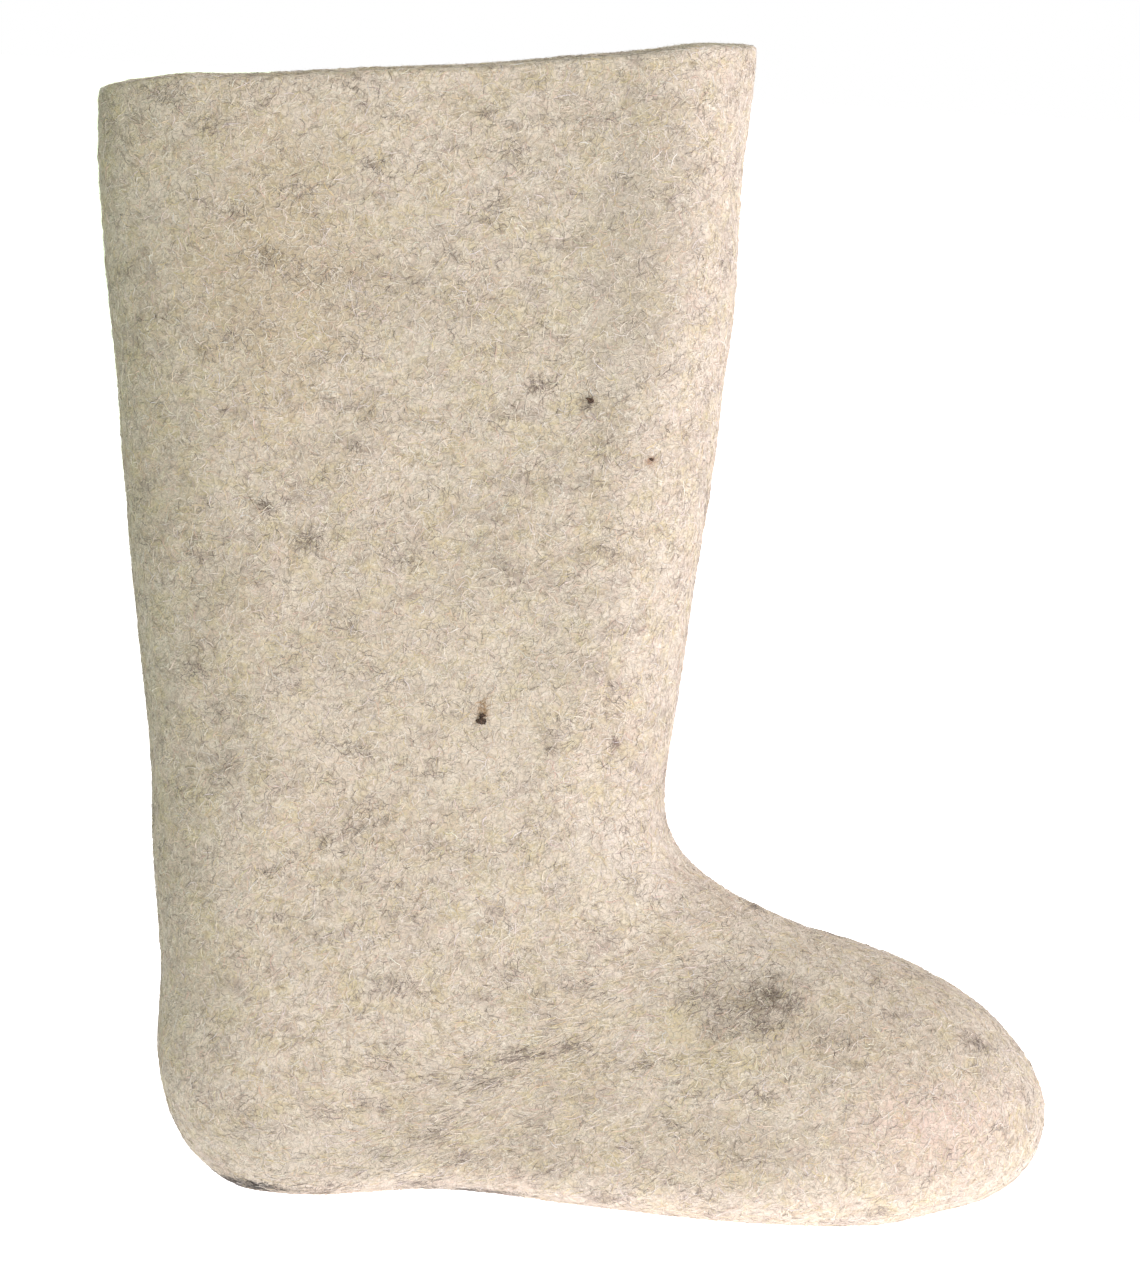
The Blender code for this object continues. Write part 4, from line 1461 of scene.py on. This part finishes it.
MARKS = (
    Mark("yellow vamp wool", Side.NEAR, 143.0, 54.0, 24.0, 14.0, 1.2, (0.72, 0.61, 0.36), 0.45),
    Mark("yellow instep wool", Side.NEAR, 127.0, 66.0, 14.0, 9.0, 1.2, (0.72, 0.61, 0.36), 0.45),
    # Painted light: the toe's lower side paler and rosier, as if lit from the floor below and from the toe's
    # side.
    Mark("rose toe side", Side.NEAR, 212.0, 38.0, 40.0, 24.0, 1.2, (0.80, 0.62, 0.54), 0.70),
    Mark("grey vamp patch", Side.NEAR, 149.0, 75.0, 24.0, 16.0, 1.3, (0.42, 0.35, 0.28), 0.42),
    Mark("grey vamp core", Side.NEAR, 157.0, 77.0, 9.0, 7.0, 1.3, (0.30, 0.24, 0.18), 0.35),
    Mark("smudge by the lower burr", Side.NEAR, 56.0, 166.5, 3.0, 5.0, 1.1, (0.40, 0.25, 0.14), 0.75),
    Mark("smudge by the upper burr", Side.NEAR, 84.6, 271.0, 4.2, 4.4, 0.9, (0.34, 0.26, 0.20), 0.55),
    Mark("soft brown fleck", Side.NEAR, 79.5, 156.0, 5.0, 6.0, 1.2, (0.36, 0.27, 0.21), 0.45),
    Mark("small brown fleck", Side.NEAR, 100.5, 157.6, 2.6, 2.6, 0.7, (0.30, 0.22, 0.18), 0.80),
    Mark("throat fleck", Side.NEAR, 117.2, 52.3, 3.4, 2.6, 0.9, (0.30, 0.23, 0.19), 0.65),
    Mark("back shaft fleck", Side.NEAR, -20.8, 229.2, 6.0, 3.6, 1.2, (0.32, 0.26, 0.21), 0.45),
    Mark("reddish fleck", Side.NEAR, 106.8, 252.6, 3.0, 2.8, 0.7, (0.36, 0.17, 0.10), 0.70),
    Mark("brown upper shaft", Side.NEAR, -22.0, 310.0, 45.0, 70.0, 1.2, (0.55, 0.44, 0.29), 0.60),
    # Painted light: the heel's and the sole's lower edges paler, as if lit from the floor below.
    Mark("pale heel edge", Side.NEAR, 14.0, 10.0, 52.0, 26.0, 0.8, (0.88, 0.79, 0.69), 0.45),
    Mark("pale sole edge", Side.NEAR, 120.0, 4.0, 110.0, 16.0, 0.6, (0.82, 0.74, 0.67), 0.30),
    Mark("brown front shaft", Side.NEAR, 98.0, 325.0, 28.0, 80.0, 0.8, (0.52, 0.45, 0.37), 0.60),
    Mark("brown sole side", Side.NEAR, 150.0, 30.0, 50.0, 15.0, 0.8, (0.52, 0.44, 0.36), 0.55),
    # Painted light: the up-facing instep and vamp top paler, as if lit from above.
    Mark("pale instep", Side.NEAR, 112.0, 118.0, 34.0, 28.0, 1.0, (0.88, 0.79, 0.70), 0.45),
    Mark("pale vamp top", Side.NEAR, 160.0, 95.0, 34.0, 20.0, 1.0, (0.86, 0.78, 0.69), 0.45),
    # Painted light: the lower shaft paler, as if lit from below.
    Mark("pale low shaft", Side.NEAR, 40.0, 165.0, 70.0, 60.0, 1.0, (0.80, 0.69, 0.56), 0.35),
    Mark("brown shaft band", Side.NEAR, 15.0, 305.0, 42.0, 18.0, 1.2, (0.50, 0.41, 0.31), 0.35),
    Mark("brown toe ridge", Side.NEAR, 190.0, 62.0, 38.0, 18.0, 1.2, (0.54, 0.44, 0.33), 0.35),
    # A thin darker line across the upper shaft, below the collar's rim.
    Mark("collar scuff", Side.NEAR, 63.3, 364.3, 22.0, 1.6, 0.5, (0.40, 0.34, 0.28), 0.35),
    Mark("brown shaft spot", Side.NEAR, -25.6, 313.4, 9.0, 6.0, 1.3, (0.38, 0.30, 0.19), 0.40),
    Mark("dark fleck by the collar", Side.NEAR, -62.1, 364.1, 8.0, 5.0, 1.3, (0.28, 0.23, 0.18), 0.45),
    Mark("heel dirt", Side.NEAR, -14.0, 2.0, 13.0, 2.8, 1.0, (0.15, 0.12, 0.10), 0.80),
    Mark("waist dirt", Side.NEAR, 64.0, 4.2, 17.0, 3.2, 1.0, (0.17, 0.14, 0.13), 0.70),
    Mark("toe specks", Side.NEAR, 244.0, 15.5, 7.0, 5.0, 1.5, (0.40, 0.34, 0.29), 0.45),
)


@dataclass(frozen=True)
class FeltFinish:
    """A felt: its base colour, tones in patches and lines, marks, nap and relief."""

    name: str
    base: Colour
    patches: tuple[PatchTone, ...]
    lines: tuple[LineTone, ...]
    marks: tuple[Mark, ...]
    sheen: float
    sheen_tint: Colour
    grain_size: float
    relief: float
    grain_detail: float = 4.0
    grain_span: Span = (0.3, 0.7)
    roughness: Span = (0.98, 0.86)
    specular: float = 0.2
    sheen_roughness: float = 0.5

    def make(self, effects: FeltEffects) -> bpy.types.Material:
        """Lays the tones over each other, and feeds colour, roughness and bump to the shader.

        Args:
            effects: The shared groups.

        Returns:
            The material.
        """
        sheet = Shading(self.name)
        colour = self.patched(sheet, effects)
        grain = sheet.noise(sheet.place, 1 / self.grain_size, self.grain_detail).outputs["Fac"]
        height = grain
        for tone in self.lines:
            shift = (tone.shift, -tone.shift, tone.shift / 2)
            inputs = {"Place": sheet.place, "Shift": shift, "Size": tone.size, "Thin": tone.thin}
            mask = sheet.group(effects.lines, inputs | {"Kept": tone.kept, "Clustered": tone.clustered})
            colour = sheet.blend(sheet.number("MULTIPLY", mask, tone.strength), colour, rgba(tone.colour))
            height = sheet.number("MULTIPLY_ADD", mask, tone.relief, height)
        bump = sheet.add("ShaderNodeBump", {"Height": height, "Strength": 1.0, "Distance": self.relief})
        return sheet.finish({
            "Base Color": colour,
            "Roughness": sheet.ramp(grain, *self.grain_span, *self.roughness),
            "Normal": bump.outputs["Normal"],
            "Specular IOR Level": self.specular,
            "Sheen Weight": self.sheen,
            "Sheen Roughness": self.sheen_roughness,
            "Sheen Tint": rgba(self.sheen_tint),
        })

    def patched(self, sheet: Shading, effects: FeltEffects) -> bpy.types.NodeSocket:
        """The base colour with the patches and the marks laid over it.

        Args:
            sheet: The material's nodes.
            effects: The shared groups.

        Returns:
            The colour.
        """
        colour = rgba(self.base)
        for tone in self.patches:
            laid = sheet.vector("MULTIPLY", sheet.place, (1 / tone.longer, 1 / tone.longer, 1.0))
            inputs = {"Place": laid, "Size": tone.size, "Detail": tone.detail}
            mask = sheet.group(effects.patches, inputs | {"Low": tone.low, "High": tone.high})
            colour = sheet.blend(sheet.number("MULTIPLY", mask, tone.strength), colour, rgba(tone.colour))
        uneven = sheet.noise(sheet.place, MARK_GRAIN, MARK_DETAIL).outputs["Color"]
        uneven = sheet.vector("SUBTRACT", uneven, HALF)
        # The marks are stains and flecks, and patches of painted light on the toe side, the heel and sole
        # edges, the instep, the vamp top and the low shaft.
        for mark in self.marks:
            middle = (mark.x, mark.side.value * MARK_DEPTH, mark.z)
            half = (mark.half_x, MARK_DEPTH, mark.half_z)
            inputs = {"Place": sheet.place, "Middle": middle, "Half Size": half}
            mask = sheet.group(effects.spot, inputs | {"Uneven": uneven, "Ragged": mark.ragged})
            colour = sheet.blend(sheet.number("MULTIPLY", mask, mark.strength), colour, rgba(mark.colour))
        return colour


BOOT_FELT = FeltFinish(
    name="cream felt",
    base=(0.765, 0.665, 0.555),
    patches=(
        PatchTone("large shade", (0.58, 0.47, 0.36), 38.0, 1.3, 2.0, 0.42, 0.68, 0.50),
        PatchTone("yellow wool", (0.70, 0.60, 0.38), 8.0, 1.3, 4.0, 0.46, 0.64, 0.70),
        PatchTone("pink wool", (0.74, 0.59, 0.50), 6.0, 1.2, 4.0, 0.48, 0.68, 0.50),
        PatchTone("mauve wool", (0.44, 0.36, 0.31), 6.5, 1.7, 5.0, 0.49, 0.70, 0.60),
        PatchTone("fine clusters", (0.36, 0.28, 0.21), 2.0, 1.3, 3.0, 0.49, 0.70, 0.50),
        PatchTone("pale clusters", (0.90, 0.81, 0.69), 2.2, 1.2, 2.0, 0.52, 0.70, 0.50),
    ),
    lines=(
        LineTone("pale lines", (0.94, 0.86, 0.75), 3.0, 0.045, 0.0, 1.0, 0.0, 0.65, 0.7),
        LineTone("pale fine lines", (0.92, 0.83, 0.71), 2.2, 0.050, 31.0, 0.9, 0.0, 0.55, 0.6),
        LineTone("grey lines", (0.30, 0.235, 0.17), 2.2, 0.040, 57.0, 0.9, 0.60, 0.45, 0.2),
        LineTone("brown lines", (0.26, 0.19, 0.13), 1.7, 0.040, 71.0, 0.8, 0.70, 0.45, 0.2),
        LineTone("dark lines", (0.12, 0.09, 0.07), 2.8, 0.026, 83.0, 0.8, 0.65, 0.50, 0.2),
    ),
    marks=MARKS,
    sheen=0.30,
    sheen_tint=(1.0, 0.96, 0.93),
    grain_size=0.7,
    relief=0.0003,
)

INSOLE_FELT = FeltFinish(
    name="grey felt",
    base=(0.56, 0.51, 0.44),
    patches=(
        PatchTone("worn tone", (0.44, 0.40, 0.34), 22.0, 1.3, 2.0, 0.42, 0.70, 0.60),
        PatchTone("dark clusters", (0.30, 0.27, 0.23), 1.8, 1.5, 2.0, 0.50, 0.68, 0.50),
        PatchTone("pale clusters", (0.70, 0.65, 0.58), 2.2, 1.2, 2.0, 0.52, 0.70, 0.45),
    ),
    lines=(
        LineTone("pale lines", (0.80, 0.75, 0.68), 1.8, 0.035, 0.0, 0.9, 0.0, 0.55, 0.6),
        LineTone("dark lines", (0.22, 0.20, 0.17), 2.0, 0.030, 41.0, 0.7, 0.4, 0.55, 0.3),
    ),
    marks=(),
    sheen=0.2,
    sheen_tint=(1.0, 0.97, 0.94),
    grain_size=0.8,
    relief=0.0003,
)


@dataclass(frozen=True)
class HairFinish:
    """The wool hairs' finish: each hair's own tint, a little uneven along it."""

    name: str = "wool hair"
    cover: float = 1.0
    sheen: float = 0.45
    specular: float = 0.25
    roughness: Span = (0.75, 0.95)
    shade: float = 0.82
    shade_size: float = 0.8
    shade_detail: float = 2.0
    shade_span: Span = (0.4, 0.65)

    def make(self, effects: FeltEffects) -> bpy.types.Material:
        """The tint darkened a little in patches, with a soft gloss.

        Args:
            effects: The shared groups.

        Returns:
            The material.
        """
        sheet = Shading(self.name)
        tint = sheet.add("ShaderNodeAttribute", {}, attribute_name="tint").outputs["Color"]
        low, high = self.shade_span
        inputs = {"Place": sheet.place, "Size": self.shade_size, "Detail": self.shade_detail}
        patch = sheet.group(effects.patches, inputs | {"Low": low, "High": high})
        shade = sheet.ramp(patch, 0.0, 1.0, 1.0, self.shade)
        inputs = {MIX_SHARE: 1.0, MIX_FIRST: tint, MIX_SECOND: shade}
        darker = sheet.add("ShaderNodeMix", inputs, data_type="RGBA", blend_type="MULTIPLY")
        return sheet.finish({
            "Base Color": darker.outputs[MIX_COLOUR],
            "Roughness": sheet.ramp(patch, 0.0, 1.0, *self.roughness),
            "Specular IOR Level": self.specular,
            "Sheen Weight": self.sheen,
            "Alpha": self.cover,
        })


WOOL_HAIR = HairFinish()
FINE_WOOL_HAIR = HairFinish(name="fine wool hair", cover=0.5)


@dataclass(frozen=True)
class HuskFinish:
    """The dark husk's finish: two browns in small patches."""

    name: str = "dark husk"
    dark: Colour = (0.035, 0.022, 0.016)
    light: Colour = (0.20, 0.12, 0.08)
    patch_size: float = 0.4
    patch_detail: float = 3.0
    patch_span: Span = (0.4, 0.62)
    relief: float = 0.0002
    roughness: Span = (0.7, 0.9)

    def make(self, effects: FeltEffects) -> bpy.types.Material:
        """The two browns mixed by patches, which also lift the surface.

        Args:
            effects: The shared groups.

        Returns:
            The material.
        """
        sheet = Shading(self.name)
        low, high = self.patch_span
        inputs = {"Place": sheet.place, "Size": self.patch_size, "Detail": self.patch_detail}
        patch = sheet.group(effects.patches, inputs | {"Low": low, "High": high})
        bump = sheet.add("ShaderNodeBump", {"Height": patch, "Strength": 1.0, "Distance": self.relief})
        return sheet.finish({
            "Base Color": sheet.blend(patch, rgba(self.dark), rgba(self.light)),
            "Roughness": sheet.ramp(patch, 0.0, 1.0, *self.roughness),
            "Normal": bump.outputs["Normal"],
        })


@dataclass(frozen=True)
class Studio:
    """The plain studio: a white floor and an even sky that is darker and greener from the heel's side."""

    floor_half_size: float = 30.0
    floor_colour: Colour = (0.60, 0.60, 0.60)
    glow_from: float = -0.50
    glow_to: float = 0.30
    heel_glow: float = 0.22
    toe_glow: float = 1.41
    seen_glow: float = 0.8
    green_to: float = -0.08
    heel_glow_colour: Colour = (0.84, 1.00, 0.70)
    toe_glow_colour: Colour = (1.00, 0.97, 1.00)
    heel_light: Colour = (0.05, 0.16, 0.03)
    toe_light: Colour = (1.60, 1.50, 1.54)
    seen_sky: Colour = (1.0, 1.0, 1.0)
    middle: float = 0.5

    def build(self) -> None:
        """The floor and the sky."""
        half = self.floor_half_size
        corners = [(-half, -half, 0), (half, -half, 0), (half, half, 0), (-half, half, 0)]
        mesh = bpy.data.meshes.new("studio_floor")
        mesh.from_pydata(corners, [], [(0, 1, 2, 3)])
        mesh.materials.append(self.white())
        floor = bpy.data.objects.new("studio_floor", mesh)
        bpy.context.scene.collection.objects.link(floor)
        self.build_sky()

    def white(self) -> bpy.types.Material:
        """The floor's white: a glow that grows along X, and is stronger where the camera sees it.

        Returns:
            The material.
        """
        sheet = Shading("studio white")
        along = sheet.add("ShaderNodeSeparateXYZ", {"Vector": sheet.metres}).outputs["X"]
        glow = sheet.ramp(along, self.glow_from, self.glow_to, self.heel_glow, self.toe_glow)
        share = sheet.ramp(along, self.glow_from, self.green_to, 0.0, 1.0)
        seen = sheet.add("ShaderNodeLightPath", {}).outputs["Is Camera Ray"]
        return sheet.finish({
            "Base Color": rgba(self.floor_colour),
            "Roughness": 1.0,
            "Specular IOR Level": 0.0,
            "Emission Color": sheet.blend(share, rgba(self.heel_glow_colour), rgba(self.toe_glow_colour)),
            "Emission Strength": sheet.number("MULTIPLY_ADD", seen, self.seen_glow, glow),
        })

    def build_sky(self) -> None:
        """White where the camera sees it, otherwise a blend of the two lights by the direction along X."""
        world = bpy.data.worlds.new("studio sky")
        world.use_nodes = True
        bpy.context.scene.world = world
        sheet = NodeSheet(world.node_tree)
        direction = sheet.add("ShaderNodeTexCoord", {}).outputs["Generated"]
        along = sheet.add("ShaderNodeSeparateXYZ", {"Vector": direction}).outputs["X"]
        share = sheet.number("MULTIPLY_ADD", along, self.middle, self.middle)
        light = sheet.blend(share, rgba(self.heel_light), rgba(self.toe_light))
        lit = sheet.add("ShaderNodeBackground", {"Color": light, "Strength": 1.0})
        white = sheet.add("ShaderNodeBackground", {"Color": rgba(self.seen_sky), "Strength": 1.0})
        seen = sheet.add("ShaderNodeLightPath", {}).outputs["Is Camera Ray"]
        mixed = sheet.add("ShaderNodeMixShader", {0: seen, 1: lit.outputs[0], 2: white.outputs[0]})
        sheet.feed(sheet.tree.nodes["World Output"], "Surface", mixed.outputs[0])


@dataclass(frozen=True)
class PhotoCamera:
    """A long lens from the near side, a little above the middle, rolled so that the toe looks lower."""

    aim: Triple = (0.0834, -0.045, 0.1938)
    distance: float = 4.0
    down_degrees: float = 3.3
    roll_degrees: float = 3.45
    picture_height: float = 0.4214
    sensor: float = 36.0
    sight: float = 200.0

    def build(self) -> None:
        """The camera, its right and up axes turned about the line of sight by the roll."""
        down, roll = math.radians(self.down_degrees), math.radians(self.roll_degrees)
        forward = Vector((0.0, math.cos(down), -math.sin(down)))
        level_up = Vector((0.0, math.sin(down), math.cos(down)))
        level_right = Vector((1.0, 0.0, 0.0))
        right = level_right * math.cos(roll) + level_up * math.sin(roll)
        up = level_up * math.cos(roll) - level_right * math.sin(roll)
        place = Vector(self.aim) - forward * self.distance
        lens = bpy.data.cameras.new("photo_camera")
        lens.sensor_width = self.sensor
        lens.lens = self.sensor * self.distance / self.picture_height
        lens.clip_end = self.sight
        camera = bpy.data.objects.new("photo_camera", lens)
        bpy.context.scene.collection.objects.link(camera)
        turn = Matrix((right, up, -forward)).transposed().to_4x4()
        camera.matrix_world = Matrix.Translation(place) @ turn
        bpy.context.scene.camera = camera


FIRST_PATCH_SEED = 60


def patch_hairs(skin: Skin, number: int, patch: WoolPatch) -> PatchHairs:
    """The hairs of one patch: dark hairs with the patch's own name, number, colour and seed.

    Args:
        skin: The skin that they lie on.
        number: The patch's place in the list.
        patch: The patch.

    Returns:
        The hairs.
    """
    name = patch.name.replace(" ", "_")
    colours = (HairColour(patch.colour, 1.0),)
    seed = FIRST_PATCH_SEED + number
    kind = replace(DARK_HAIRS, name=name, seed=seed, count=patch.hairs, colours=colours)
    return PatchHairs(skin, kind, patch=patch)


def main() -> None:
    """Builds the boot, the insole, the hairs and the burrs, and then the studio and the camera."""
    logging.basicConfig(level=logging.INFO, format="%(message)s")
    effects = FeltEffects()
    felt, grey_felt = BOOT_FELT.make(effects), INSOLE_FELT.make(effects)
    hair, husk = WOOL_HAIR.make(effects), HuskFinish().make(effects)
    fine_hair = FINE_WOOL_HAIR.make(effects)
    form = BootForm()
    boot = FeltBoot(form)
    boot.build(felt)
    Insole(form).build(grey_felt)
    for kind in HAIR_KINDS:
        Hairs(boot.skin, kind).build(fine_hair if kind.fine else hair)
    for number, patch in enumerate(WOOL_PATCHES):
        patch_hairs(boot.skin, number, patch).build(hair)
    Burrs(boot.skin).build(husk)
    Studio().build()
    PhotoCamera().build()
    bpy.context.scene.view_settings.view_transform = "Standard"


if __name__ == "__main__":
    main()
